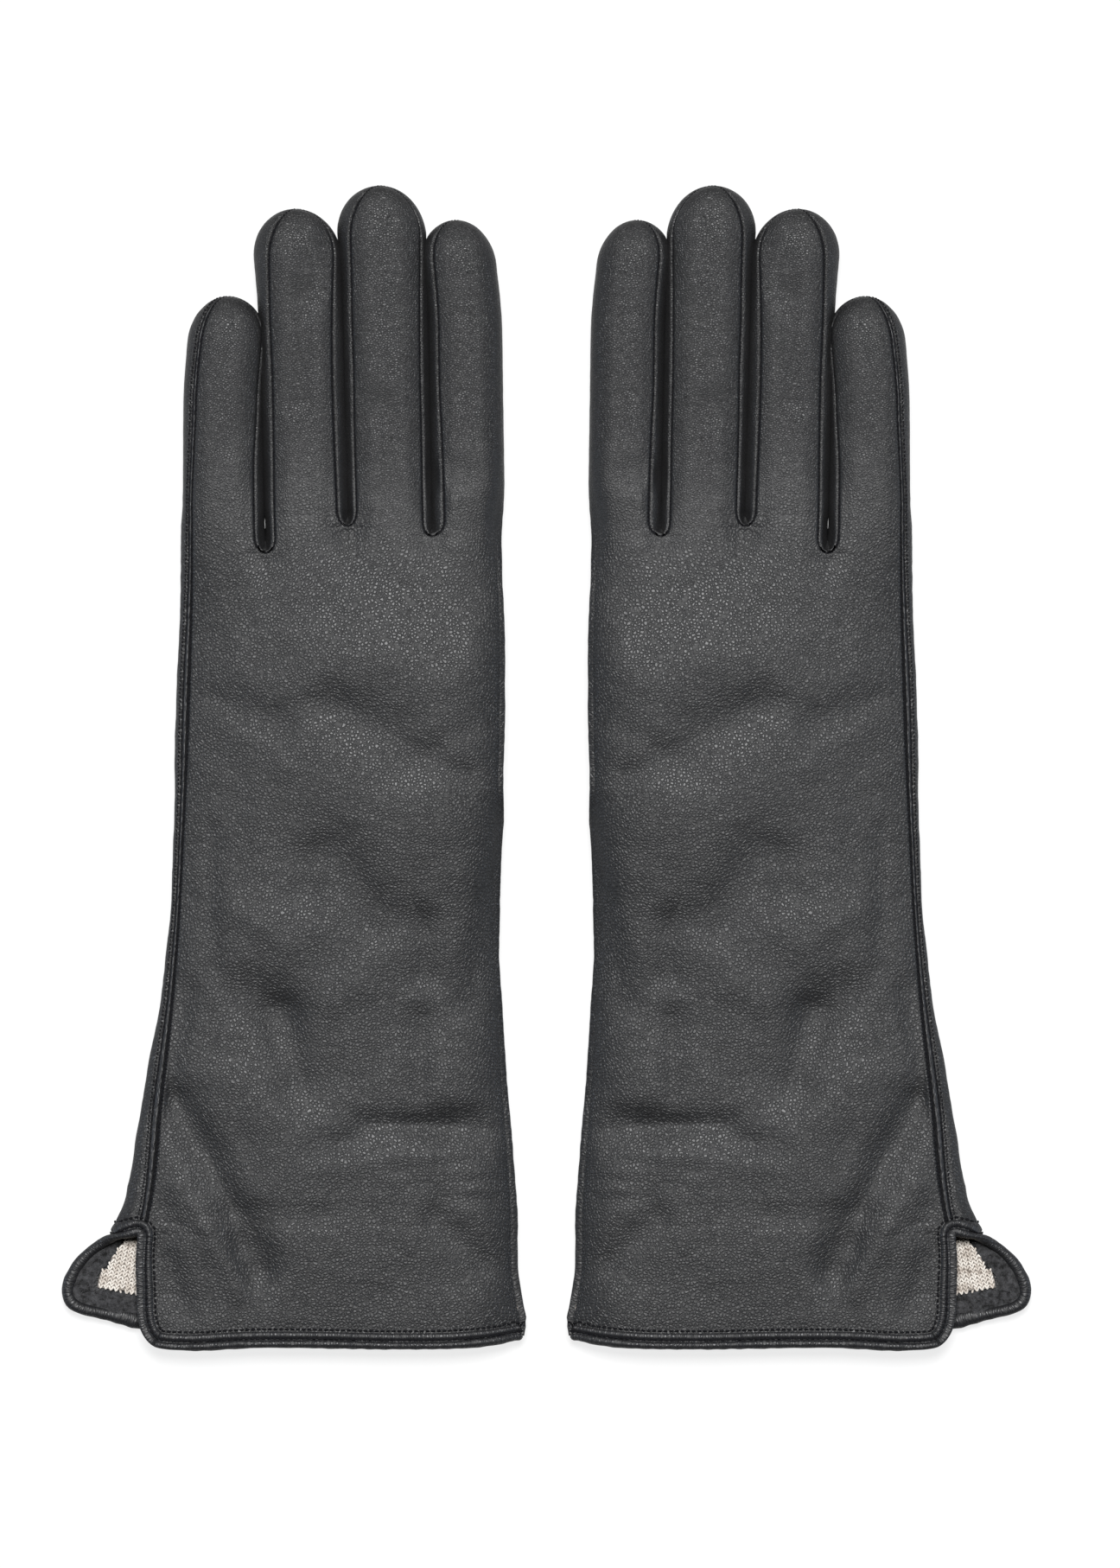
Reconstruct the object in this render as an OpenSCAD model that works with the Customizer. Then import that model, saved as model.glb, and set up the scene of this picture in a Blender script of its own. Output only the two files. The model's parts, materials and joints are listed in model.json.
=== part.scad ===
// A pair of long leather dress gloves with a knitted lining, laid side by side with the
// backs of the hands up. Each glove is a flattened sleeve, four fingers with gussets
// between them, and a thumb that lies folded under the palm.
// +Y runs from the hem to the fingertips, +Z out of the backs, and X across the pair.
// One glove is drawn at x > 0 with its thumb side towards x = 0, and the other mirrors it.

/* [Pair] */
// Clear distance between the two cuffs
pair_gap = 10; // [9:1:60]

/* [Sleeve] */
// Length from the hem to the tip of the middle finger
glove_length = 310; // [300:1:330]
// Width across the laid glove at the finger bases
palm_w = 86; // [84:1:90]
// Height of the laid sleeve
sleeve_h = 12; // [11:0.5:15]
// Height of the laid fingers
finger_h = 13; // [12:0.5:15]
// Distance from the hem to the wrist crease
wrist_v = 125; // [120:1:130]
// Distance from the hem to the crease where the fingers bend
knuckle_v = 226; // [224:1:228]

/* [Leather and lining] */
// Thickness of the leather
leather_t = 0.9; // [0.7:0.1:1.1]
// Thickness of the knitted lining
lining_t = 1.2; // [0.8:0.1:1.4]
// Width of the welt in the outer side seam, in degrees of the sleeve's section
welt_angle = 6; // [4:1:8]

/* [Thumb] */
// Height of the flattened thumb under the palm
thumb_h = 5.4; // [5:0.2:6]
// Distance from the hem to the line where the thumb leaves the palm
thumb_v = 144; // [143:1:146]

/* [Cuff] */
// Length of the vent in the outer side seam
vent_len = 36; // [34:1:38]
// Diameter of the rolled binding round the hem and the vent
binding_d = 3.4; // [3:0.2:4]
// Depth of the facing inside the cuff
facing_w = 6; // [5:0.5:8]
// How much the palm's hem rises towards the vent
hem_rise = 5; // [3:0.5:6]

/* [Hidden] */
SIDES = ["left", "right"];
// Name, base centre x, base half width, tip centre x, tip half width, middle crease, tip:
// all in millimetres, the last two measured from the hem.
FINGERS = [
    ["index",  16.0,  9.3, 17.6, 9.6, 262, glove_length - 9.2],
    ["middle", 36.9, 10.7, 39.5, 11.1, 268, glove_length],
    ["ring",   58.9, 10.4, 62.5, 10.7, 265, glove_length - 6.2],
    ["little", 81.0, 10.8, 82.0, 9.4, 252, glove_length - 29.5]
];
THUMB = ["thumb", 26, 12.5, 50, 10.5, thumb_v + 50, thumb_v + 50];

// Sleeve outline, as pairs of distance from the hem and x. The thumb side is a fold.
FOLD_X = [[0, 0.4], [6, 0], [16, 3.3], [37, 3.9], [60, 5.7], [83, 7.1], [106, 8], [130, 7.8],
          [175, 6.6], [knuckle_v, 6.6]];
SEAM_X = [[37, 106.9], [46, 106.2], [67, 102.8], [88, 99.8], [111, 97.5], [130, 95.8],
          [152, 94], [198, 92.9], [knuckle_v, 6.6 + palm_w]];
BACK_EDGE_X = [[0, 105.5], [4, 108.5], [24, 110], [37, 106.9]];
FLAP_EDGE_X = [[3, 119], [8, 123], [12, 122], [20, 117.5], [28, 111.5], [33, 108], [37, 106.9]];

// Section exponents: wide and flat across the sleeve, rounder on a finger
SLEEVE_FLAT = 0.555;
FINGER_FLAT = 0.75;
ROUND = 0.9;
FLATTEN = 1.04; // presses the top and bottom of each section to a true flat
seam_a = 28; // angle of the outer side seam on the section, above the widest point
edge_a = welt_angle / 2;
joint_gap = 0.4; // half the clearance between bodies at a finger crease
wrist_notch = tan(25); // each side of the wrist crease is cut back by half the bend
under_lift = thumb_h + 0.6; // the palm rides this high over the thumb
over_lift = 4.5; // and the back of the hand this high
facing_v = binding_d + 1; // where the leather of the cuff ends
LEATHER = "#2b2b2e";
TRIM = "#1b1b1d";
KNIT = "#d9d1c4";
FACING = "#121213";

function spow(x, p) = sign(x) * pow(abs(x), p);
function mix(a, b, f) = a + (b - a) * f;
function ramp(x, a, b) = let (f = min(1, max(0, (x - a) / (b - a)))) f * f * (3 - 2 * f);
function flat(rows) = [for (r = rows) each r];
function unit(v) = v / norm(v);
function height_share(a) = (1 + max(-1, min(1, FLATTEN * spow(sin(a), ROUND)))) / 2;

// Underside and top of the laid sleeve
function under_z(x, v) =
    under_lift * (1 - ramp(x, 64, 84)) * ramp(v, thumb_v - 1.4, thumb_v - 0.6)
        * (1 - ramp(v, 198, knuckle_v - 2))
    + (binding_d - leather_t) / 2 * (1 - ramp(v, facing_v, 18));
function over_z(x, v) =
    mix(sleeve_h, finger_h, ramp(v, 190, knuckle_v))
    + over_lift * (1 - ramp(x, 35, 92)) * ramp(v, 90, 155) * (1 - ramp(v, 180, knuckle_v));

// A point of the sleeve at section angle a and distance v from the hem, inset from its
// outer face. Angle 0 points away from the other glove and 90 points up. Notch cuts the
// row back above and below its middle.
function sleeve_point(a, v, inset = 0, notch = 0) =
    let (
        back = sin(a) > 0 && a < 180,
        out = v > 37 ? lookup(v, SEAM_X) : lookup(v, back ? BACK_EDGE_X : FLAP_EDGE_X),
        fold = lookup(v, FOLD_X),
        mid = (fold + lookup(max(v, 37), SEAM_X)) / 2,
        c = spow(cos(a), SLEEVE_FLAT),
        x = c < 0 ? mid + (mid - fold - inset) * c : mid + (out - inset - mid) * c,
        droop = back ? 1 : 1 - 0.5 * (1 - ramp(v, 18, 37)) * ramp(a, 300, 360),
        z = mix(under_z(x, v) + inset, over_z(x, v) - inset, height_share(a) * droop),
        rise = back || v > vent_len ? 0 : hem_rise * ramp(x, 0, 120) * (1 - v / vent_len)
    )
    [x, v + rise + notch * abs(z - sleeve_h / 2) - glove_length / 2, z];

// Angles of the leather, which wraps from the back's seam edge round the fold to the palm's
LEATHER_A = [for (i = [0:24]) mix(seam_a + edge_a, 360 + seam_a - edge_a, i / 24)];
RING_A = concat(LEATHER_A, [360 + seam_a]); // all round, over the welt as well

// A point of a finger: s holds one line of FINGERS
function finger_point(s, a, v, inset, h) =
    let (
        cap = 1.15 * s[4],
        tip = s[6] - inset,
        q = min(1, max(0, (v - tip + cap) / cap)),
        along = (v - knuckle_v) / (s[6] - knuckle_v),
        lean = s[0] == "thumb" ? (v - thumb_v) / (s[6] - thumb_v) : along,
        shrink = sqrt(1 - q * q),
        hw = (mix(s[2], s[4], lean) - inset) * shrink,
        hh = (h / 2 - inset) * (0.25 + 0.75 * shrink)
    )
    [mix(s[1], s[3], lean) + hw * spow(cos(a), FINGER_FLAT), v - glove_length / 2,
     h / 2 + hh * (2 * height_share(a) - 1)];

function finger_rows(s, v0, v1, n, angles, inset, h) =
    [for (i = [0:n]) [for (a = angles) finger_point(s, a, mix(v0, v1, i / n), inset, h)]];

// Rows that run from v0 round the closed end
function tip_rows(s, v0, angles, inset, h) =
    let (cap = 1.15 * s[4], start = s[6] - inset - cap)
    [for (v = [v0, mix(v0, start, 0.5), start, for (q = [35, 60, 80]) start + cap * sin(q)])
        [for (a = angles) finger_point(s, a, v, inset, h)]];

// A closed solid between an outer and an inner grid of points. Wrap joins the last column
// to the first, and tip closes the last row.
module shell(outer, inner, wrap = false, tip = false) {
    rows = len(outer);
    cols = len(outer[0]);
    n = rows * cols;
    last = wrap ? cols - 1 : cols - 2;
    function at(r, c, deep) = r * cols + c % cols + (deep ? n : 0);
    function quad(a, b, c, d) = [[a, b, c], [a, c, d]];
    function middle(row) = [for (k = [0:2]) let (s = [for (p = row) p[k]]) (max(s) + min(s)) / 2];
    skins = [for (r = [0:rows - 2], c = [0:last])
        each concat(
            quad(at(r, c), at(r, c + 1), at(r + 1, c + 1), at(r + 1, c)),
            quad(at(r, c, true), at(r + 1, c, true), at(r + 1, c + 1, true), at(r, c + 1, true)))];
    start = [for (c = [0:last])
        each quad(at(0, c), at(0, c, true), at(0, c + 1, true), at(0, c + 1))];
    end = tip
        ? [for (c = [0:last]) each
            [[at(rows - 1, c), at(rows - 1, c + 1), 2 * n],
             [at(rows - 1, c, true), 2 * n + 1, at(rows - 1, c + 1, true)]]]
        : [for (c = [0:last]) each quad(at(rows - 1, c), at(rows - 1, c + 1),
            at(rows - 1, c + 1, true), at(rows - 1, c, true))];
    edges = wrap ? [] : [for (r = [0:rows - 2]) each concat(
        quad(at(r, 0), at(r + 1, 0), at(r + 1, 0, true), at(r, 0, true)),
        quad(at(r, cols - 1), at(r, cols - 1, true), at(r + 1, cols - 1, true),
            at(r + 1, cols - 1)))];
    apex = tip ? [middle(outer[rows - 1]) + [0, 0.2, 0], middle(inner[rows - 1]) + [0, 0.1, 0]] : [];
    polyhedron(concat(flat(outer), flat(inner), apex), concat(skins, start, end, edges));
}

// A solid that follows the sleeve through rows vs and section angles, between two insets
module sleeve(vs, angles, from, to, wrap = false, notches = []) {
    function grid(inset) = [for (i = [0:len(vs) - 1]) [for (a = angles)
        sleeve_point(a, vs[i], inset, len(notches) ? notches[i] : 0)]];
    shell(grid(from), grid(to), wrap);
}

HAND_V = [wrist_v + joint_gap, 134, thumb_v - 1.4, thumb_v - 0.6, 154, 166, 178, 190, 200, 212,
          knuckle_v - joint_gap];
HAND_NOTCH = [for (i = [0:10]) i == 0 ? wrist_notch : 0];
SLEEVE_V = [37, 46, 67, 88, 106, wrist_v - joint_gap];
SLEEVE_NOTCH = [0, 0, 0, 0, 0, -wrist_notch];
FACING_V = [for (f = [0, 0.5, 1]) facing_v + f * facing_w];
CUFF_V = concat(FACING_V, [20, 28, 33]);

module thumb_way() {
    translate([15.5, thumb_v - glove_length / 2 - 5, leather_t + lining_t + 0.1])
        cube([21, 6, thumb_h - 2 * (leather_t + lining_t) - 0.2]);
}

module hand_leather() {
    color(LEATHER) difference() {
        sleeve(HAND_V, LEATHER_A, 0, leather_t, notches = HAND_NOTCH);
        thumb_way();
    }
}

module hand_lining() {
    color(KNIT) difference() {
        sleeve(HAND_V, RING_A, leather_t, leather_t + lining_t, true, HAND_NOTCH);
        thumb_way();
    }
}

module gauntlet_leather() {
    color(LEATHER) sleeve(concat(CUFF_V, SLEEVE_V), LEATHER_A, 0, leather_t,
        notches = concat([for (v = CUFF_V) 0], SLEEVE_NOTCH));
}

module gauntlet_lining() {
    vs = concat([for (v = CUFF_V) if (v >= FACING_V[2]) v], SLEEVE_V);
    color(KNIT) sleeve(vs, LEATHER_A, leather_t, leather_t + lining_t,
        notches = [for (i = [0:len(vs) - 1]) i == len(vs) - 1 ? -wrist_notch : 0]);
}

module cuff_facing() {
    color(FACING) sleeve(FACING_V, LEATHER_A, leather_t, leather_t + 0.8);
}

// The welt stands slightly proud between the two edges of the side seam
module welt(vs, notches) {
    angles = [for (i = [0:2]) seam_a - edge_a + i * edge_a];
    color(TRIM) sleeve(vs, angles, -0.3, leather_t, notches = notches);
}

module hand_welt() {
    welt(HAND_V, HAND_NOTCH);
}

module gauntlet_welt() {
    welt(SLEEVE_V, SLEEVE_NOTCH);
}

// The binding is one closed roll: down the back's vent edge, along the back's hem, round
// the fold, along the palm's hem and up the flap's edge
module cuff_binding() {
    r = binding_d / 2;
    edge = concat(
        [for (v = [31, 24, 17, 10]) [LEATHER_A[0], v]],
        [for (i = [0:2:24]) [LEATHER_A[i], facing_v]],
        [for (v = [8, 12, 20, 28, 33]) [LEATHER_A[24], v]]);
    n = len(edge);
    on = [for (e = edge) sleeve_point(e[0], e[1], leather_t / 2)];
    up = [for (e = edge) unit(sleeve_point(e[0], e[1], 0) - sleeve_point(e[0], e[1], 1))];
    run = [for (i = [0:n - 1]) unit(on[(i + 1) % n] - on[(i + n - 1) % n])];
    off = [for (i = [0:n - 1]) unit(cross(up[i], run[i]))];
    rings = [for (i = [0:n - 1]) let (mid = on[i] + off[i] * r, side = cross(run[i], off[i]))
        [for (k = [0:7]) mid + r * (cos(45 * k) * off[i] + sin(45 * k) * side)]];
    color(TRIM) polyhedron(flat(rings), [for (i = [0:n - 1], k = [0:7])
        let (a = i * 8, b = (i + 1) % n * 8, k2 = (k + 1) % 8)
        each [[a + k, b + k, b + k2], [a + k, b + k2, a + k2]]]);
}

// Section angles of the panels of a finger
BACK_A = [for (i = [0:6]) 40 + i * 100 / 6];
PALM_A = [for (a = BACK_A) a + 180];
OUTER_GUSSET_A = [for (i = [0:4]) -40 + i * 20];
INNER_GUSSET_A = [for (a = OUTER_GUSSET_A) a + 180];
THUMB_SIDE_A = [160, 180, 200];
OUTER_SIDE_A = [for (a = THUMB_SIDE_A) a + 180];
FINGER_RING_A = concat(BACK_A, THUMB_SIDE_A, PALM_A, OUTER_SIDE_A);

module finger_panel(s, angles) {
    v0 = knuckle_v + joint_gap;
    v1 = s[5] - joint_gap;
    shell(finger_rows(s, v0, v1, 2, angles, 0, finger_h),
        finger_rows(s, v0, v1, 2, angles, leather_t, finger_h));
}

// The index finger's leather wraps its thumb side and the little finger's its outer side.
// The two middle fingers have a separate back and front.
module finger_base_leather(s) {
    color(LEATHER) {
        if (s[0] == "index") finger_panel(s, concat(BACK_A, THUMB_SIDE_A, PALM_A));
        else if (s[0] == "little") finger_panel(s, concat(PALM_A, OUTER_SIDE_A,
            [for (a = BACK_A) a + 360]));
        else for (angles = [BACK_A, PALM_A]) finger_panel(s, angles);
    }
}

module finger_base_gussets(s) {
    color(TRIM) {
        if (s[0] != "little") finger_panel(s, OUTER_GUSSET_A);
        if (s[0] != "index") finger_panel(s, INNER_GUSSET_A);
    }
}

module finger_base_lining(s) {
    v0 = knuckle_v + joint_gap;
    v1 = s[5] - joint_gap;
    color(KNIT) shell(finger_rows(s, v0, v1, 2, FINGER_RING_A, leather_t, finger_h),
        finger_rows(s, v0, v1, 2, FINGER_RING_A, leather_t + lining_t, finger_h), true);
}

module closed_end(s, v0, from, to, h) {
    angles = [for (i = [0:15]) i * 22.5];
    shell(tip_rows(s, v0, angles, from, h), tip_rows(s, v0, angles, to, h), true, true);
}

module finger_tip_leather(s) {
    color(LEATHER) closed_end(s, s[5] + joint_gap, 0, leather_t, finger_h);
}

module finger_tip_lining(s) {
    color(KNIT) closed_end(s, s[5] + joint_gap, leather_t, leather_t + lining_t, finger_h);
}

module thumb_leather() {
    color(LEATHER) closed_end(THUMB, thumb_v + joint_gap, 0, leather_t, thumb_h);
}

module thumb_lining() {
    color(KNIT) closed_end(THUMB, thumb_v + joint_gap, leather_t, leather_t + lining_t, thumb_h);
}

HAND_PARTS = ["hand_leather", "hand_lining", "hand_welt", "gauntlet_leather", "gauntlet_lining",
    "gauntlet_welt", "cuff_facing", "cuff_binding", "thumb_leather", "thumb_lining"];
FINGER_PARTS = ["base_leather", "base_gussets", "base_lining", "tip_leather", "tip_lining"];

module hand_part(part) {
    if (part == "hand_leather") hand_leather();
    if (part == "hand_lining") hand_lining();
    if (part == "hand_welt") hand_welt();
    if (part == "gauntlet_leather") gauntlet_leather();
    if (part == "gauntlet_lining") gauntlet_lining();
    if (part == "gauntlet_welt") gauntlet_welt();
    if (part == "cuff_facing") cuff_facing();
    if (part == "cuff_binding") cuff_binding();
    if (part == "thumb_leather") thumb_leather();
    if (part == "thumb_lining") thumb_lining();
}

module finger_part(part, s) {
    if (part == "base_leather") finger_base_leather(s);
    if (part == "base_gussets") finger_base_gussets(s);
    if (part == "base_lining") finger_base_lining(s);
    if (part == "tip_leather") finger_tip_leather(s);
    if (part == "tip_lining") finger_tip_lining(s);
}

module placed(side) {
    if (side == "right") translate([pair_gap / 2, 0, 0]) children();
    else mirror([1, 0, 0]) translate([pair_gap / 2, 0, 0]) children();
}

for (side = SIDES) {
    for (part = HAND_PARTS)
        placed(side) hand_part(part);
    for (s = FINGERS, part = FINGER_PARTS)
        placed(side) finger_part(part, s);
}
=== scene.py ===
"""A pair of long black leather gloves, laid flat on a pale floor with the backs up.

One glove (the right-hand one of the pair, x > 0) is worked out in millimetres, and the
other is its mirror image. Each leather panel is a grid of points: v runs from the hem to
the fingertips, and the columns run round the section of the sleeve or finger.
"""
import json
import math

import bpy
import numpy as np
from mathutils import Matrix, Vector
from mathutils.bvhtree import BVHTree
from mathutils.kdtree import KDTree


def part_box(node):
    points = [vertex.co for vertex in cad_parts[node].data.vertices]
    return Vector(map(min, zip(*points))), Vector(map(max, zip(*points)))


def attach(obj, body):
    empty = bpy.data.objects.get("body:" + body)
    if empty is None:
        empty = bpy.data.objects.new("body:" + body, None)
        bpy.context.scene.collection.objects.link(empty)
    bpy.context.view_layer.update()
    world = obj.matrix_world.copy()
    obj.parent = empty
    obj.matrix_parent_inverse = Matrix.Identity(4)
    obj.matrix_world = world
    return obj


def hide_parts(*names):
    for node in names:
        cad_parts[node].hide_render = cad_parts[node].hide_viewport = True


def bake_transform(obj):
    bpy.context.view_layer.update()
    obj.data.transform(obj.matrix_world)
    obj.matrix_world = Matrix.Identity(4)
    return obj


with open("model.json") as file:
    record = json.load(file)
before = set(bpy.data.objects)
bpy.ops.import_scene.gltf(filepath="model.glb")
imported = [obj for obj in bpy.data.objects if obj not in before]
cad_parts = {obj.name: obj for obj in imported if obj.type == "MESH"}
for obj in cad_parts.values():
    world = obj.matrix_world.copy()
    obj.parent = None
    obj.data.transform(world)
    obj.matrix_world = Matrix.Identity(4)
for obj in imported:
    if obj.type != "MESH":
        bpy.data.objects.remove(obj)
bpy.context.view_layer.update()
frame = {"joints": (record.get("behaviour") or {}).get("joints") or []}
MM = 0.001


# ---------------------------------------------------------------- sizes from the frame
def box_mm(node):
    low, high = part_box(node)
    return np.array(low) / MM, np.array(high) / MM


def joint_mm(name):
    found = [j for j in frame["joints"] if j["name"] == name][0]
    return np.array(found["pos_m"]) / MM


FINGERS = ["index", "middle", "ring", "little"]
KNUCKLE_Y = joint_mm("right_index_knuckle")[1]
WRIST_Y = joint_mm("right_wrist")[1]
FINGER_H = box_mm("right_index_tip_leather")[1][2]
THUMB_LOW, THUMB_HIGH = box_mm("right_thumb_leather")
HEM_Y = box_mm("right_cuff_binding")[0][1]
VENT_Y = box_mm("right_gauntlet_welt")[0][1] - 1
SLEEVE_H = 12.0
LEATHER_T, LINING_T = 0.8, 0.75
TRIM_T = 0.6  # the gussets and the welt are of thinner leather
# The folded thumb: the sleeve's gap above it, where the sleeve comes down again beyond it,
# and how much higher the back lies over it
THUMB_GAP, PAST_THUMB_X, PAST_THUMB_Y, THUMB_BULGE = 0.6, (66, 88), (43, 69), 4.0
CUFF_LIFT, CUFF_SINK = 1.3, 1.6  # at the hem the palm lies higher and the back lower

# Where the back and the fingers part, from the fold to the outer side: x and y of the
# bottom of each slit. On the palm the slits start further up.
CROTCHES = [(30.8, 61.8), (52.9, 64.4), (74.7, 57.3)]
PALM_SLIT_UP = 6.0
SPLIT_V = 57.0  # the row of the grid at which the slits start
SPLIT_SPREAD = 23.0
SLIT_ROUND = 4.0  # the rounded bottom of a slit is this long
PANEL_FROM = 76.0  # above this, the outer edges follow the fingers' own sections

# Outlines of the sleeve: x at y, on the fold, at the back's seam edge and on the outside
FOLD_LINE = [(-156, 6.2), (-152, 5.9), (-148, 5.4), (-144, 6.1), (-137, 7.4), (-118, 8.0), (-95, 9.5),
             (-75, 11.1), (-50, 12.5), (-30, 12.3), (-5, 11.3), (20, 11.1), (45, 11.5), (75, 12.0)]
SEAM_LINE = [(-156, 100.5), (-153.5, 103.6), (-151.6, 105.4), (-149.7, 106.8), (-147, 107.6),
             (-141, 107.8), (-127, 107.8), (-123, 107.2), (-118, 106.1), (-89, 102.8), (-63, 100.0),
             (-40, 98.2), (-20, 97.2), (0, 96.2), (20, 95.5), (40, 94.9), (75, 94.6)]
SIDE_LINE = [(-130, 117.0), (-124, 116.5), (-121, 115.0), (-118, 113.3), (-110, 111.2), (-95, 108.8),
             (-80, 106.4), (-65, 103.4), (-50, 101.4), (-30, 100.1), (-15, 99.4), (-5, 99.1),
             (8, 99.2), (20, 98.8), (45, 97.6), (75, 97.8)]
# The flap of the palm beside the vent: x of its edge at v
FLAP_LINE = [(-153.5, 116), (-152.1, 123), (-150.8, 126.3), (-149, 127.6), (-144.3, 127.2), (-138, 125.5),
             (-133, 123.0), (-125, 116.9), (-120, 113.0), (-116, 111.2)]
# How far the back's and the palm's hem lie above the straight hem, at x
BACK_RISE = [(5, 0.4), (8, 0.6), (12, -0.1), (20, -1.0), (40, -1.5), (60, -1.1), (80, -1.1), (97, -1.8),
             (104, -1.3), (108, -0.2)]
PALM_RISE = [(5, 1.0), (60, 2.0), (100, 3.9), (109, 4.8), (112, 5.6), (118, 6.8), (124, 7.5), (128, 7.3)]
# Distance from the back's seam edge to the palm's, with the welt between them, at y
WELT_LINE = [(-118, 1.7), (-95, 2.1), (-80, 1.9), (-62, 1.4), (-21, 1.0), (20, 1.6), (55, 0.9), (120, 0.8)]

# The seams of each finger, as shares of its half width, at shares of its length
SEAM_AT = [0.0, 0.2, 0.4, 0.65, 0.88, 1.0]
SEAM_SHARE = {
    "index": (None, [0.66, 0.69, 0.74, 0.73, 0.70, 0.74]),
    "middle": ([0.79, 0.80, 0.80, 0.83, 0.89, 0.87], [0.78, 0.79, 0.78, 0.785, 0.70, 0.62]),
    "ring": ([0.72, 0.71, 0.71, 0.76, 0.87, 0.93], [0.78, 0.75, 0.73, 0.74, 0.64, 0.56]),
    "little": ([0.76, 0.78, 0.86, 0.92, 0.94, 0.93], [0.80, 0.76, 0.71, 0.68, 0.64, 0.64]),
}
PALM_SEAM_SHARE = 0.74
# How far each fingertip leans out, and how much wider it is than its CAD solid's half width
TIP_SHAPE = {"index": (2.0, 0.0), "middle": (0.8, 0.5), "ring": (0.6, 0.6), "little": (-1.6, 0.0)}
WRAP = 3.8  # the leather turns round a side within this of the outline
SLEEVE_FLAT, FINGER_FLAT, ROUND, FLATTEN = 0.5, 0.8, 0.9, 1.03
CAP_ROUND = 0.75  # how fast a fingertip's height falls with its width
GROOVE_R, GROOVE_D = 1.0, 1.2  # half width and depth of the groove along a seam

# Soft dents and folds on the back: x, y, x, y, width, depth. A negative depth is a ridge.
DENTS = [
    (75.7, -134, 99, -88.5, 5.0, 1.15), (82, -139, 97, -112, 3.0, -0.35),
    (96.7, -146, 103, -127, 3.0, 0.45), (66, -84, 71, -66, 6.0, 0.75), (71, -66, 80, -60, 6.0, 0.5),
    (19, -95, 46, -95.5, 4.5, 0.9), (27, -97, 34, -95, 5.0, 0.5),
    (17.6, -131, 29, -120.5, 5.0, 0.65), (33.8, -67, 33.8, -88, 3.5, 0.5),
    (33, -42, 33, -55, 5.0, 0.6), (45, -42, 56.3, -22, 6.0, 0.55), (63.6, -32, 64, -25, 5.0, 0.5),
    (21.7, -3, 58, 16.3, 6.0, 0.6), (70.9, 11, 88, 18, 4.0, 0.35),
    (89.4, -16, 89.4, -54, 3.0, 0.25), (17, -105, 40, -107, 2.0, 0.2),
    (14, -110, 33, -111, 1.6, 0.22), (14, -115, 28, -114, 1.6, 0.2), (15, -100, 60, -101, 3.0, 0.2),
    (54, -100, 54, -150, 2.0, 0.12), (20, 77.6, 29, 77.6, 4.0, 0.3), (64, 125, 66, 98, 3.5, 0.3),
    (61, 138, 63, 128, 4.0, 0.3), (43, 94, 45, 96, 5.0, 0.3), (45, 148, 45, 110, 2.0, 0.1),
    (22, 46, 30, 56, 5.0, 0.25), (30, 47, 42, 49, 3.0, 0.15), (16, 14, 40, -2, 4.0, 0.25),
    (60, -120, 84, -118, 3.0, 0.2), (95, -60, 101, -84, 3.0, 0.3), (14, -30, 20, -62, 4.0, 0.35),
    (46, 30, 62, 26, 8.0, -0.3), (70, -46, 84, -38, 7.0, -0.45), (50, -58, 58, -62, 6.0, -0.3),
    (75, -92, 82, -84, 6.0, -0.35), (26, 28, 40, 30, 8.0, -0.25), (104, -122, 82, -128, 2.0, 0.16),
    (104, -119, 86, -120, 2.0, 0.14), (103, -116, 90, -112, 2.0, 0.14),
]


# ---------------------------------------------------------------- small mathematics
def ramp(x, a, b):
    t = np.clip((x - a) / (b - a), 0, 1)
    return t * t * (3 - 2 * t)


def mix(a, b, f):
    return a + (b - a) * f


def smooth_line(x, points):
    """A smooth curve through the points, level beyond its ends."""
    xs, ys = np.array(points, float).T
    slope = np.gradient(ys, xs)
    x = np.clip(x, xs[0], xs[-1])
    i = np.clip(np.searchsorted(xs, x) - 1, 0, len(xs) - 2)
    span = xs[i + 1] - xs[i]
    t = (x - xs[i]) / span
    a = ys[i] * (1 + 2 * t) * (1 - t) ** 2 + slope[i] * span * t * (1 - t) ** 2
    return a + ys[i + 1] * t * t * (3 - 2 * t) + slope[i + 1] * span * t * t * (t - 1)


class Noise:
    """Smooth noise on a plane, repeated from a seeded lattice."""

    def __init__(self, seed, size=64):
        self.size = size
        self.lattice = np.random.default_rng(seed).uniform(-1, 1, (size, size))

    def at(self, x, y):
        i, j = np.floor(x).astype(int), np.floor(y).astype(int)
        fx, fy = x - i, y - j
        fx, fy = fx * fx * (3 - 2 * fx), fy * fy * (3 - 2 * fy)
        n, g = self.size, self.lattice
        low = mix(g[i % n, j % n], g[(i + 1) % n, j % n], fx)
        high = mix(g[i % n, (j + 1) % n], g[(i + 1) % n, (j + 1) % n], fx)
        return mix(low, high, fy)


BROAD, CREASE, FINE = Noise(11), Noise(5), Noise(23)


def slit_round(t):
    t = np.clip(t, 0, 1)
    return np.sqrt(1 - (1 - t) ** 2)


# ---------------------------------------------------------------- sections
def share_up(share, flat):
    """Height on a section, 0 at its side and 1 at its top, at a share of its half width."""
    s = np.clip(np.abs(share), 0, 1)
    return np.minimum(1, FLATTEN * (1 - s ** (2 / flat)) ** (ROUND / 2))


def up_at(angle):
    """Height on a section at an angle: 1 at its top and -1 at its bottom."""
    return np.sign(np.sin(angle)) * np.minimum(1, FLATTEN * np.abs(np.sin(angle)) ** ROUND)


def angle_at(share, flat):
    return np.arccos(np.clip(np.abs(share), 0, 1) ** (1 / flat))


def under_z(x, y):
    """Height of the sleeve's underside, which rides over the folded thumb."""
    lift = (THUMB_HIGH[2] + THUMB_GAP) * (1 - ramp(x, *PAST_THUMB_X))
    lift = lift * ramp(y, THUMB_LOW[1] - 5, THUMB_LOW[1] + 6) * (1 - ramp(y, *PAST_THUMB_Y))
    return lift + CUFF_LIFT * (1 - ramp(y, HEM_Y + 2, HEM_Y + 18))


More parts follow.
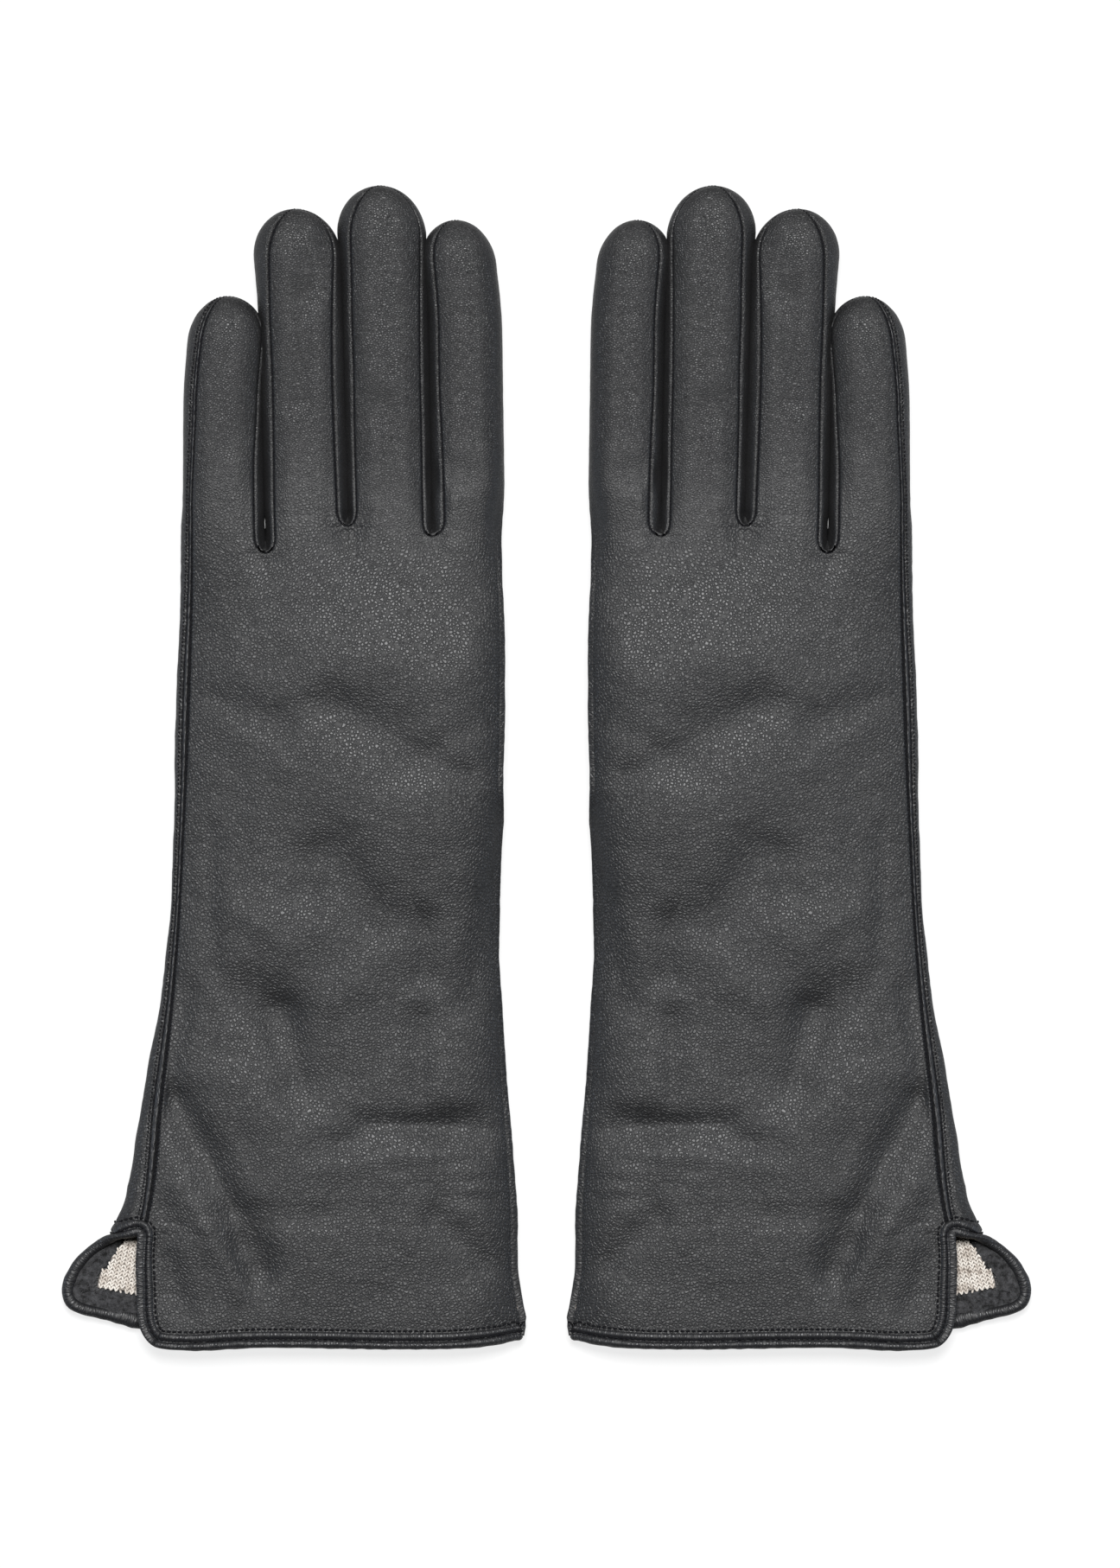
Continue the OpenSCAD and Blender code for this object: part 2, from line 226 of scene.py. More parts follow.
def over_z(x, y):
    """Height of the sleeve's back."""
    lift = THUMB_BULGE * (1 - ramp(x, 36, 97)) * ramp(y, -70, 0) * (1 - ramp(y, 22, KNUCKLE_Y))
    height = mix(SLEEVE_H, FINGER_H, ramp(y, 35, KNUCKLE_Y))
    return height + lift - CUFF_SINK * (1 - ramp(y, HEM_Y, HEM_Y + 34))


def height_at(x, y, up):
    """Height inside the glove: up is -1 on its underside and 1 on its back."""
    low, high = under_z(x, y), over_z(x, y)
    return (low + high) / 2 + (high - low) / 2 * up


def sleeve_frame(y):
    fold, side = smooth_line(y, FOLD_LINE), smooth_line(y, SIDE_LINE)
    return (fold + side) / 2, (side - fold) / 2


class Finger:
    """The section of one finger, from its CAD boxes, and the lines of its seams."""

    def __init__(self, name):
        self.name = name
        self.base_c = joint_mm(f"right_{name}_knuckle")[0]
        low, high = box_mm(f"right_{name}_tip_leather")
        gusset = box_mm(f"right_{name}_base_gussets")
        panel = box_mm(f"right_{name}_base_leather")
        self.tip_c, self.tip_h, self.tip_y = (low[0] + high[0]) / 2, (high[0] - low[0]) / 2, high[1]
        self.base_h = (max(panel[1][0], gusset[1][0]) - min(panel[0][0], gusset[0][0])) / 2
        self.middle_y = joint_mm(f"right_{name}_middle")[1]
        self.cut_y = self.middle_y - 9  # its lower pieces end here
        self.cap = 1.2 * self.tip_h
        i = FINGERS.index(name)
        self.slit = (CROTCHES[i - 1] if i else None, CROTCHES[i] if i < 3 else None)

    def slit_y(self, outer, palm):
        """y of the bottom of the slit beside the finger."""
        return self.slit[outer][1] + (PALM_SLIT_UP if palm else 0)

    def shrink(self, y):
        q = np.clip((y - self.tip_y + self.cap) / self.cap, 0, 1)
        return np.sqrt(1 - q * q)

    def frame(self, y):
        t = (y - KNUCKLE_Y) / (self.tip_y - KNUCKLE_Y)
        lean, wider = TIP_SHAPE[self.name]
        near_tip = ramp(y, self.tip_y - 30, self.tip_y)
        half = (mix(self.base_h, self.tip_h, t) + 0.15 + wider * near_tip) * self.shrink(y)
        return mix(self.base_c, self.tip_c, t) + lean * near_tip, half

    def share(self, y, outer, palm):
        """Where a seam or a turn lies, as a share of the half width."""
        t = (y - KNUCKLE_Y) / (self.tip_y - KNUCKLE_Y)
        shares = SEAM_SHARE[self.name][outer]
        if shares is None or (palm and self.name == "little" and outer):
            return 1 - WRAP / self.frame(np.minimum(y, self.tip_y - self.cap))[1]
        dorsal = smooth_line(t, list(zip(SEAM_AT, shares)))
        return mix(dorsal, PALM_SEAM_SHARE, 0.8) if palm else dorsal

    def edge_x(self, y, outer, palm):
        """x of a panel's edge at y."""
        sign = 1 if outer else -1
        c, h = self.frame(y)
        x = c + sign * self.share(y, outer, palm) * h
        slit = self.slit[outer]
        if slit is None:
            return mix(sleeve_edge(y, outer, palm), x, ramp(y, SPLIT_V, PANEL_FROM))
        return slit[0] + (x - slit[0]) * slit_round((y - self.slit_y(outer, palm)) / SLIT_ROUND)


def sleeve_edge(y, outer, palm):
    """x where the sleeve's back or palm panel ends, at the outer side or at the fold."""
    if not outer:
        return smooth_line(y, FOLD_LINE) + WRAP
    return smooth_line(y, SIDE_LINE) - WRAP if palm else smooth_line(y, SEAM_LINE)


HAND = {name: Finger(name) for name in FINGERS}


def to_fingers(y):
    return ramp(y, 42, 80)


def surface_z(x, y, finger, palm):
    """Height of the back or the palm at x, y, inside the columns of one finger."""
    c, w = sleeve_frame(y)
    up = share_up((x - c) / w, SLEEVE_FLAT)
    fc, fh = finger.frame(y)
    finger_share = np.abs(x - fc) / np.maximum(fh, 1e-3)
    cap = finger.shrink(y) ** CAP_ROUND
    finger_up = share_up(np.minimum(finger_share, mix(0.82, 1.0, ramp(y, 66, 80))), FINGER_FLAT)
    return height_at(x, y, (-1 if palm else 1) * mix(up, finger_up * cap, to_fingers(y)))


def between(sections, finger, y):
    """x and z of a point that passes from the sleeve's section to the finger's."""
    (sleeve_x, sleeve_up), (finger_x, finger_up) = sections
    x = mix(sleeve_x, finger_x, ramp(y, SPLIT_V, PANEL_FROM))
    return x, height_at(x, y, mix(sleeve_up, finger_up * finger.shrink(y) ** CAP_ROUND, to_fingers(y)))


def side_point(k, y, finger, outer, palm_side):
    """A point on the turn round a side: k is 0 at the back's edge and 1 at the palm's."""
    sign = 1 if outer else -1
    c, w = sleeve_frame(y)
    fc, fh = finger.frame(y)
    points = []
    for centre, half, flat, top, bottom in (
        (c, w, SLEEVE_FLAT, (sleeve_edge(y, outer, palm_side) - c) / w,
         (sleeve_edge(y, outer, True) - c) / w),
        (fc, fh, FINGER_FLAT, finger.share(y, outer, palm_side), finger.share(y, outer, True)),
    ):
        angle = mix(angle_at(top, flat), -angle_at(bottom, flat), k)
        points.append((centre + sign * half * np.cos(angle) ** flat, up_at(angle)))
    return between(points, finger, y)


# ---------------------------------------------------------------- columns and rows
def spread(width, pitch, start_seam, end_seam):
    """Shares across a panel, close together where it meets a seam."""
    near = np.array([0, 0.12, 0.3, 0.55, 0.85, 1.25]) / width
    low = near if start_seam else np.array([0])
    high = 1 - (near if end_seam else np.array([0]))[::-1]
    inner = np.linspace(low[-1], high[0], max(2, round((high[0] - low[-1]) * width / pitch) + 1))
    return np.concatenate([low[:-1], inner, high[1:]])


def row_set(stops, pitch, near=()):
    """Rows from the first stop to the last, with extra ones close to the stops in near."""
    rows = [np.linspace(a, b, max(2, round(abs(b - a) / pitch) + 1)) for a, b in zip(stops, stops[1:])]
    extra = [n + d for n in near for d in (-0.9, -0.55, -0.25, 0.25, 0.55, 0.9, 1.3, 1.8)]
    rows = np.unique(np.round(np.concatenate(rows + [np.array(extra)]), 3))
    return rows[(rows >= stops[0]) & (rows <= stops[-1])]


def tip_rows(finger, start, pitch):
    """Rows from start to the fingertip, close together at the very end."""
    begin = finger.tip_y - finger.cap
    body = np.linspace(start, begin, max(2, round((begin - start) / pitch) + 1))
    turn = begin + finger.cap * np.sin(np.linspace(0, math.pi / 2, round(finger.cap * 1.57 / pitch) + 1))
    return np.concatenate([body, turn[1:]])


def panel_ends(finger, palm):
    """Shift of the split row at the inner and outer edge of a finger's panel."""
    lift = PALM_SLIT_UP if palm else 0
    inner = finger.slit[0][1] + lift if finger.slit[0] else CROTCHES[0][1] + lift - 1
    outer = finger.slit[1][1] + lift if finger.slit[1] else CROTCHES[2][1] + lift - 1
    return inner - SPLIT_V, outer - SPLIT_V


def shifted(v, shift):
    """y of a row at v. The shift is whole at the split row and fades away from it."""
    fade = np.where(v < SPLIT_V, ramp(v, 20, SPLIT_V), 1 - ramp(v, SPLIT_V, SPLIT_V + SPLIT_SPREAD))
    return v + shift * fade


def hem_rise(v, x, palm=True):
    if palm:
        return smooth_line(x, PALM_RISE) * (1 - ramp(v, HEM_Y + 2, HEM_Y + 32))
    return smooth_line(x, BACK_RISE) * (1 - ramp(v, HEM_Y + 2, HEM_Y + 14))


COLUMNS = {name: spread(1.5 * finger.frame(KNUCKLE_Y + 20)[1], 1.25, name != "index", True)
           for name, finger in HAND.items()}
TURN = np.linspace(0, 1, 12)[1:-1]


class Net:
    """A sheet under construction: points, faces, texture coordinates and a tag per face."""

    def __init__(self):
        self.points, self.uv, self.faces, self.tags, self.parts, self.count = [], [], [], [], [], 0

    def grid(self, points, uv, tag_of_row, flip=False):
        rows, cols = points.shape[:2]
        self.parts.append((points, uv, list(tag_of_row), flip))
        index = self.count + np.arange(rows * cols).reshape(rows, cols)
        a, b = index[:-1, :-1], index[1:, :-1]
        c, d = index[1:, 1:], index[:-1, 1:]
        order = (d, c, b, a) if flip else (a, b, c, d)
        self.faces.append(np.stack(order, -1).reshape(-1, 4))
        tags = np.repeat(np.asarray(tag_of_row)[:rows - 1], cols - 1)
        self.tags.append(tags)
        self.points.append(points.reshape(-1, 3))
        self.uv.append(uv.reshape(-1, 2))
        self.count += rows * cols

    def weld(self):
        """Joins points that coincide and works out the normals."""
        points, uv = np.concatenate(self.points), np.concatenate(self.uv)
        key = np.round((points + 0.00371) / 0.004)
        _, first, inverse = np.unique(key, axis=0, return_index=True, return_inverse=True)
        self.p, self.t = points[first], uv[first]
        self.f = inverse.reshape(-1)[np.concatenate(self.faces)]
        self.tag = np.concatenate(self.tags)
        self.n = normals(self.p, self.f)
        return self


def normals(points, faces):
    a, b, c, d = (points[faces[:, i]] for i in range(4))
    n = np.cross(c - a, d - b)
    out = np.zeros_like(points)
    for i in range(4):
        np.add.at(out, faces[:, i], n)
    return out / np.maximum(np.linalg.norm(out, axis=1, keepdims=True), 1e-9)


# ---------------------------------------------------------------- the leather sheet
def panel_points(rows, name, palm, shares):
    """The points of one finger's back or palm panel, or of its strip of the sleeve."""
    finger = HAND[name]
    y = shifted(rows[:, None], mix(*panel_ends(finger, palm), shares[None]))
    inner, outer = strip_edges(y, name, palm)
    x = mix(inner, outer, shares[None])
    y = y + hem_rise(rows[:, None], x, palm)
    return np.stack([x, y, surface_z(x, y, finger, palm)], -1)


def strip_edges(y, name, palm):
    """x of both edges of a finger's strip, carried on down the sleeve."""
    finger = HAND[name]
    fold, side = sleeve_edge(y, False, palm), sleeve_edge(y, True, palm)
    edges = []
    for outer in (False, True):
        slit = finger.slit[outer]
        if slit is None:
            edges.append(finger.edge_x(y, outer, palm))
            continue
        y0 = finger.slit_y(outer, palm)
        low, high = sleeve_edge(y0, False, palm), sleeve_edge(y0, True, palm)
        down = mix(fold, side, (slit[0] - low) / (high - low))
        edges.append(np.where(y < y0, down, finger.edge_x(y, outer, palm)))
    return edges


def turn_points(rows, name, outer):
    """The points of a turn round the fold or the outer side, between back and palm."""
    finger = HAND[name]
    back, front = (panel_ends(finger, palm)[outer] for palm in (False, True))
    y = shifted(rows[:, None], mix(back, front, TURN[None]))
    x, z = side_point(TURN[None], y, finger, outer, False)
    y = y + mix(hem_rise(rows[:, None], x, False), hem_rise(rows[:, None], x), TURN[None])
    return np.stack([x, y, z], -1)


def side_strip(rows, count, gap_from, gap_to):
    """The leather of the outer side, between two lines on the section. Each gap is the
    distance from the back's seam edge, and None stands for the edge of the palm."""
    finger = HAND["little"]
    k = np.linspace(0, 1, count)[None]
    shifts = [panel_ends(finger, gap is None)[1] for gap in (gap_from, gap_to)]
    y = shifted(rows[:, None], mix(*shifts, k))
    c, w = sleeve_frame(y)
    fc, fh = finger.frame(y)

    def angles(gap):
        if gap is None:
            return (-angle_at((sleeve_edge(y, True, True) - c) / w, SLEEVE_FLAT),
                    -angle_at(finger.share(y, True, True), FINGER_FLAT))
        across = gap * smooth_line(y, WELT_LINE)
        top = finger.share(y, True, False) + across / np.maximum(fh, 2)
        return (angle_at((smooth_line(y, SEAM_LINE) + across - c) / w, SLEEVE_FLAT),
                angle_at(np.minimum(top, 0.97), FINGER_FLAT))

    start, end = angles(gap_from), angles(gap_to)
    sections = []
    for i, (centre, half, flat) in enumerate(((c, w, SLEEVE_FLAT), (fc, fh, FINGER_FLAT))):
        angle = mix(start[i], end[i], k)
        sections.append((centre + half * np.cos(angle) ** flat, up_at(angle)))
    x, z = between(sections, finger, y)
    return np.stack([x, y, z], -1)


def side_wrap(rows):
    """The palm's leather round the outer side, from its underside up to the welt. Below
    the top of the vent it lies out flat as a flap."""
    points = side_strip(rows, 14, None, 1)
    k = np.linspace(0, 1, 14)[None]
    v = rows[:, None] + 0 * k
    flap_x = mix(sleeve_edge(points[..., 1], True, True), smooth_line(v, FLAP_LINE), k)
    flap_z = mix(points[:, :1, 2], 2.4, ramp(k, 0, 0.5)) + 1.0 * k * k
    x = mix(points[..., 0], flap_x, 1 - ramp(v, WELT_FROM - 2.5, WELT_FROM - 0.2))
    z = mix(points[..., 2], flap_z, 1 - ramp(v, WELT_FROM - 5, WELT_FROM - 0.2))
    return np.stack([x, points[..., 1] + hem_rise(v, x), z], -1)


def arc_uv(points, origin):
    """Texture coordinates in millimetres: the distance round the section, and y."""
    step = np.linalg.norm(np.diff(points, axis=1), axis=2)
    run = np.concatenate([np.zeros((len(points), 1)), np.cumsum(step, 1)], 1)
    return np.stack([run - run[:, origin:origin + 1], points[..., 1]], -1)


def sleeve_grid(rows):
    """The whole sleeve as one open strip: back from the outer seam to the fold, and palm
    from the fold round the outer side to the welt."""
    parts = [panel_points(rows, n, False, COLUMNS[n][::-1]) for n in FINGERS[::-1]]
    parts.append(turn_points(rows, "index", False))
    parts += [panel_points(rows, n, True, COLUMNS[n]) for n in FINGERS]
    parts.append(side_wrap(rows))
    trimmed = [parts[0]]
    for part in parts[1:]:
        same = np.abs(part[:, 0] - trimmed[-1][:, -1]).max() < 0.2
        trimmed.append(part[:, 1:] if same else part)
    return np.concatenate(trimmed, 1)


def finger_grids(name, rows):
    """The grids of one finger's leather: its back and its palm, or one that goes round."""
    shares = COLUMNS[name]
    back = panel_points(rows, name, False, shares[::-1])
    palm = panel_points(rows, name, True, shares)
    if name == "index":
        return [np.concatenate([back, turn_points(rows, name, False), palm], 1)]
    if name == "little":
        return [back, np.concatenate([palm, side_wrap(rows)[:, 1:]], 1)]
    return [back, palm]


def gusset_grid(name, outer, rows):
    """The gusset on one side of a finger, from its back seam to its palm seam. At its
    lower end it meets the next finger's gusset in the web."""
    finger = HAND[name]
    sign = 1 if outer else -1
    slit = finger.slit[outer]
    k = spread(12, 1.0, True, True)[None]
    start = slit[1] + PALM_SLIT_UP * k
    y = shifted(rows[:, None], start - SPLIT_V)
    c, h = finger.frame(y)
    top, bottom = finger.share(y, outer, False), finger.share(y, outer, True)
    angle = mix(angle_at(top, FINGER_FLAT), -angle_at(bottom, FINGER_FLAT), k)
    grow = slit_round((y - start) / SLIT_ROUND)
    x = slit[0] + (c + sign * h * np.cos(angle) ** FINGER_FLAT - slit[0]) * grow
    y_top, y_low = y[:, :1], y[:, -1:]
    z_top = surface_z(finger.edge_x(y_top, outer, False), y_top, finger, False)
    z_low = surface_z(finger.edge_x(y_low, outer, True), y_low, finger, True)
    up = np.sign(np.sin(angle)) * np.abs(np.sin(angle)) ** ROUND
    share = (up - up[:, -1:]) / (up[:, :1] - up[:, -1:])
    share = mix(1 - k, share, np.minimum(grow, 1))
    return np.stack([x, y, mix(z_low, z_top, share)], -1)


def seam_line(name, outer, palm):
    """A finger's seam as a line of points, on the leather before its edges are rolled in."""
    finger = HAND[name]
    y = shifted(FINGER_ROWS[name], finger.slit_y(outer, palm) - SPLIT_V)
    x = finger.edge_x(y, outer, palm)
    return np.stack([x, y, surface_z(x, y, finger, palm)], -1)


def dent_depth(x, y):
    out = np.zeros_like(x)
    for x1, y1, x2, y2, width, depth in DENTS:
        dx, dy = x2 - x1, y2 - y1
        t = np.clip(((x - x1) * dx + (y - y1) * dy) / (dx * dx + dy * dy), 0, 1)
        wander = 1.2 * CREASE.at(x / 9 + 7.1, y / 9 + 3.3)
        away = np.hypot(x - x1 - t * dx, y - y1 - t * dy) + wander
        out += depth * np.exp(-(away / width) ** 2)
    return out


def puckers(x, y):
    """Small pleats that fan out below the bottom of each slit."""
    out = np.zeros_like(x)
    for cx, cy in CROTCHES:
        r = np.hypot(x - cx, y - cy)
        angle = np.arctan2(x - cx, cy - y)
        fan = np.cos(angle * 9 + 0.6 * np.sin(r * 1.3)) * (np.abs(angle) < 2.0)
        out += 0.13 * fan * np.exp(-((r - 2.2) / 3.0) ** 2) * ramp(r, 0.4, 2.2)
        out += 0.5 * np.exp(-(r / 5.0) ** 2)
    return out


def relief(p, n):
    """How far the leather sinks from its smooth shape, in millimetres."""
    x, y = p[:, 0], p[:, 1]
    back = ramp(n[:, 2], 0.0, 0.6)
    soft = 0.34 * BROAD.at(x / 14, y / 17) + 0.14 * BROAD.at(x / 6.3 + 9, y / 7.1)
    stretched = 0.07 * CREASE.at(x / 4.2 + y / 19, y / 1.9 - x / 11)
    small = 0.04 * FINE.at(x / 1.7, y / 1.7)
    fingers = ramp(y, 60, 85)
    soft = soft * mix(1, 0.5, fingers) * mix(1, ramp(np.abs(n[:, 2]), 0.1, 0.7), fingers)
    flat = mix(1, 0.5, fingers)
    to_fold = 1.8 * np.exp(-((x - 6) / 9.0) ** 2) * (1 - fingers)
    dents = 1.9 * dent_depth(x, y) + puckers(x, y) + to_fold
    return back * dents + soft + flat * (stretched + small)


def tree_of(points):
    tree = KDTree(len(points))
    for i, q in enumerate(points):
        tree.insert(q, i)
    tree.balance()
    return tree


def reach(tree, points):
    """The distance from each point to the nearest one in the tree."""
    return np.array([tree.find(q)[2] for q in points])


def roll_in(net, seams, rows):
    """Rolls the edges of the panels down into the seams, draws the leather in under the
    rows of topstitching, and adds the relief."""
    away = reach(tree_of(seams), net.p)
    t = np.clip(away / GROOVE_R, 0, 1)
    x, y = net.p[:, 0], net.p[:, 1]
    tips = np.min([ramp(f.tip_y - y, 0.3, 5) + 2.0 * (np.abs(x - f.tip_c) > f.tip_h + 1)
                   for f in HAND.values()], 0)
    drop = GROOVE_D * (1 - np.sqrt(1 - (1 - t) ** 2)) * np.clip(tips, 0.35, 1)
    drop = drop + 0.3 * np.exp(-(reach(tree_of(rows), net.p) / 0.9) ** 2)
    net.start = net.p
    net.p = net.p - net.n * (drop + ramp(away, 0.2, 2.5) * relief(net.p, net.n))[:, None]
    net.p[:, 2] = np.maximum(net.p[:, 2], 0.03)
    net.n = normals(net.p, net.f)
    net.tree = tree_of(net.start)
    return net


def lift(net, points, above=0.0):
    """Carries points of the smooth shape to the finished leather, and gives its normals."""
    out, ns = np.empty_like(points), np.empty_like(points)
    for i, q in enumerate(points):
        near = net.tree.find_n(q, 4)
        index = [n[1] for n in near]
        weight = 1 / (np.array([n[2] for n in near]) + 0.05) ** 2
        weight = (weight / weight.sum())[:, None]
        ns[i] = (net.n[index] * weight).sum(0)
        out[i] = q + ((net.p[index] - net.start[index]) * weight).sum(0)
    ns /= np.linalg.norm(ns, axis=1, keepdims=True)
    return out + ns * above, ns


# ---------------------------------------------------------------- meshes
def solid(points, faces, n, uv, thickness):
    """Gives a sheet its thickness: an inner copy of it, and walls round its open edges."""
    count = len(points)
    inner = points - n * np.broadcast_to(thickness, count)[:, None]
    directed = np.stack([faces, np.roll(faces, -1, 1)], -1).reshape(-1, 2)
    _, index, times = np.unique(np.sort(directed, 1), axis=0, return_index=True, return_counts=True)
    rim = directed[index[times == 1]]
    rim = rim[rim[:, 0] != rim[:, 1]]
    walls = np.stack([rim[:, 1], rim[:, 0], rim[:, 0] + count, rim[:, 1] + count], -1)
    faces = np.concatenate([faces, faces[:, ::-1] + count, walls])
    return np.concatenate([points, inner]), faces, np.concatenate([n, -n]), np.concatenate([uv, uv])


def clean(faces):
    """Faces as lists, with repeated corners dropped."""
    out = []
    for face in faces.tolist():
        kept = [v for i, v in enumerate(face) if v != face[i - 1]]
        if len(kept) > 2 and len(set(kept)) == len(kept):
            out.append(kept)
    return out


def make_mesh(name, points, faces, material, uv=None, n=None, side="right"):
    """A Blender object from points in millimetres. The left glove's are mirrored."""
    if side == "left":
        points = points * np.array([-1, 1, 1])
        faces = faces[:, ::-1]
        n = None if n is None else n * np.array([-1, 1, 1])
    used, index = np.unique(faces, return_inverse=True)
    faces = index.reshape(faces.shape)
    kept = clean(faces)
    mesh = bpy.data.meshes.new(name)
    mesh.from_pydata((points[used] * MM).tolist(), [], kept)
    mesh.polygons.foreach_set("use_smooth", np.ones(len(mesh.polygons), bool))
    if uv is not None:
        layer = mesh.uv_layers.new(name="UVMap")
        corner = np.zeros(len(mesh.loops), np.int32)
        mesh.loops.foreach_get("vertex_index", corner)
        layer.data.foreach_set("uv", uv[used][corner].astype(np.float32).ravel())
    mesh.materials.append(material)
    mesh.update()
    if n is not None:
        mesh.normals_split_custom_set_from_vertices(n[used].tolist())
    obj = bpy.data.objects.new(name, mesh)
    bpy.context.scene.collection.objects.link(obj)
    return obj


def capsules(centres, way, up, length, radius):
    """Points and faces of small rounded stitches with six sides."""
    sides = 6
    across = unit(np.cross(way, up))
    way = unit(way)
    up = np.cross(across, way)
    lon = np.arange(sides) * 2 * math.pi / sides
    ends = np.array([[-0.5, 0.45], [-0.32, 1], [0.32, 1], [0.5, 0.45]])
    shape = np.stack(np.broadcast_arrays(ends[:, :1] * length, ends[:, 1:] * radius * np.cos(lon),
                                         ends[:, 1:] * radius * np.sin(lon)), -1)
    points = (centres[:, None, None] + shape[None, ..., :1] * way[:, None, None]
              + shape[None, ..., 1:2] * across[:, None, None] + shape[None, ..., 2:] * up[:, None, None])
    index = np.arange(4 * sides).reshape(4, sides)
    turned = np.roll(index, -1, 1)
    one = np.stack([index[:-1], turned[:-1], turned[1:], index[1:]], -1).reshape(-1, 4)
    last = 3 * sides
    caps = [[0, 1, 2, 3], [0, 3, 4, 5], [last + 3, last + 2, last + 1, last],
            [last + 5, last + 4, last + 3, last]]
    one = np.concatenate([one, caps])
    faces = one[None] + np.arange(len(centres))[:, None, None] * 4 * sides
    return points.reshape(-1, 3), faces.reshape(-1, 4)


# ---------------------------------------------------------------- materials
class Shade:
    """A new material's nodes, with short ways to add the ones used here."""

    def __init__(self, name, **constants):
        self.material = bpy.data.materials.new(name)
        self.material.use_nodes = True
        self.nodes, self.link = self.material.node_tree.nodes, self.material.node_tree.links.new
        self.shader = self.nodes["Principled BSDF"]
        for key, value in constants.items():
            self.shader.inputs[key.replace("_", " ")].default_value = value

    def add(self, kind, source=None, **values):
        made = self.nodes.new("ShaderNode" + kind)
        for key, value in values.items():
            if hasattr(made, key):
                setattr(made, key, value)
            else:
                made.inputs[key.replace("_", " ")].default_value = value
        if source is not None:
            self.link(source, made.inputs[0])
        return made

    def noise(self, source, **values):
        return self.add("TexNoise", source, **values)

    def maths(self, operation, *terms):
        made = self.add("Math", operation=operation)
        for socket, value in zip(made.inputs, terms):
            if isinstance(value, (int, float)):
                socket.default_value = value
            else:
                self.link(value, socket)
        return made.outputs[0]

    def bump(self, height, **values):
        made = self.add("Bump", **values)
        self.link(height, made.inputs["Height"])
        self.link(made.outputs[0], self.shader.inputs["Normal"])

    def tone(self, value, stops):
        """Colours the surface by a ramp: stops are positions with their colours."""
        ramp_node = self.add("ValToRGB", value)
        elements = ramp_node.color_ramp.elements
        while len(elements) < len(stops):
            elements.new(0.5)
        for element, (position, colour) in zip(elements, stops):
            element.position, element.color = position, (*colour, 1)
        self.link(ramp_node.outputs[0], self.shader.inputs["Base Color"])


def leather_material(name, colour, roughness, cell, strength, stretch=(1, 1, 1), fingers_differ=True):
    """Grained nappa: pebbles of about a millimetre, finer and turned on the fingers."""
    made = Shade(name, Specular_IOR_Level=0.36)
    uv = made.add("UVMap", uv_map="UVMap").outputs[0]
    wander = made.noise(uv, Scale=0.35, Detail=2.0)
    bend = made.add("VectorMath", wander.outputs["Color"], operation="SCALE", Scale=0.9)
    shift = made.add("VectorMath", uv, operation="ADD")
    made.link(bend.outputs[0], shift.inputs[1])
    place = shift.outputs[0]
    heights = []
    for scale, angle in ((stretch, 0.0), ((1.15, 1.6, 1), 0.5)):
        mapping = made.add("Mapping", place, Scale=scale, Rotation=(0, 0, angle))
        cells = made.add("TexVoronoi", mapping.outputs[0], feature="DISTANCE_TO_EDGE", Scale=cell)
        edge = made.add("MapRange", cells.outputs["Distance"], interpolation_type="SMOOTHSTEP",
                        From_Max=0.3)
        heights.append(edge.outputs[0])
    split = made.add("SeparateXYZ", uv)
    patch = made.noise(uv, Scale=0.04, Detail=1.0)
    near = made.maths("MULTIPLY_ADD", patch.outputs["Fac"], 50.0, split.outputs["Y"])
    fingers = made.add("MapRange", near, interpolation_type="SMOOTHSTEP", From_Min=75, From_Max=120)
    blend = made.add("Mix", fingers.outputs[0], data_type="FLOAT")
    made.link(heights[0], blend.inputs["A"])
    made.link(heights[1], blend.inputs["B"])
    pebble = blend.outputs[0] if fingers_differ else heights[0]
    crumple = made.noise(place, Scale=0.12, Detail=5.0, Roughness=0.6).outputs["Fac"]
    pores = made.noise(place, Scale=3.0, Detail=2.0).outputs["Fac"]
    height = made.maths("MULTIPLY_ADD", crumple, 1.1, pebble)
    made.bump(made.maths("MULTIPLY_ADD", pores, 0.2, height), Strength=strength, Distance=0.00011)
    # The base colour follows the grain's height: darker in the pebbles' valleys and the crumples' hollows,
    # lighter on their tops. This is painted shade and light of the grain, on the nappa and on the binding
    # alike.
    relief_shade = made.maths("MULTIPLY_ADD", crumple, 0.5, made.maths("MULTIPLY", pebble, 0.55))
    made.tone(relief_shade, [(at, [c * share for c in colour]) for at, share in ((0, 0.2), (1, 1.6))])
    gloss = made.add("MapRange", pebble, To_Min=roughness + 0.15, To_Max=roughness)
    made.link(gloss.outputs[0], made.shader.inputs["Roughness"])
    return made.material


def knit_material():
    """Plain-knit lining: rows of small V stitches in a flecked beige yarn."""
    made = Shade("knit_lining", Roughness=0.9, Sheen_Weight=0.3)
    uv = made.add("UVMap", uv_map="UVMap").outputs[0]
    split = made.add("SeparateXYZ", uv)
    wale = made.maths("PINGPONG", made.maths("MULTIPLY", split.outputs["X"], 0.714), 0.5)
    slant = made.maths("MULTIPLY_ADD", split.outputs["Y"], 0.97, made.maths("MULTIPLY", wale, 1.3))
    stitch = made.maths("SINE", made.maths("MULTIPLY", slant, 6.283))
    groove = made.maths("SINE", made.maths("MULTIPLY", wale, 3.1416))
    fuzz = made.noise(uv, Scale=4.0, Detail=4.0)
    height = made.maths("MULTIPLY_ADD", stitch, 0.5, groove)
    height = made.maths("MULTIPLY_ADD", fuzz.outputs["Fac"], 1.2, height)
    made.bump(height, Strength=0.9, Distance=0.00025)
    fleck = made.noise(uv, Scale=0.9, Detail=3.0, Roughness=0.7)
    # The flecks are the yarn's own. The whole lining is drawn darker than the flecked_yarn stitches laid
    # over it in the vent: painted shade in the gaps between those stitches.
    made.tone(fleck.outputs["Fac"], [
        (0.30, (0.05, 0.04, 0.03)), (0.46, (0.16, 0.135, 0.115)), (0.7, (0.24, 0.21, 0.18))])
    return made.material


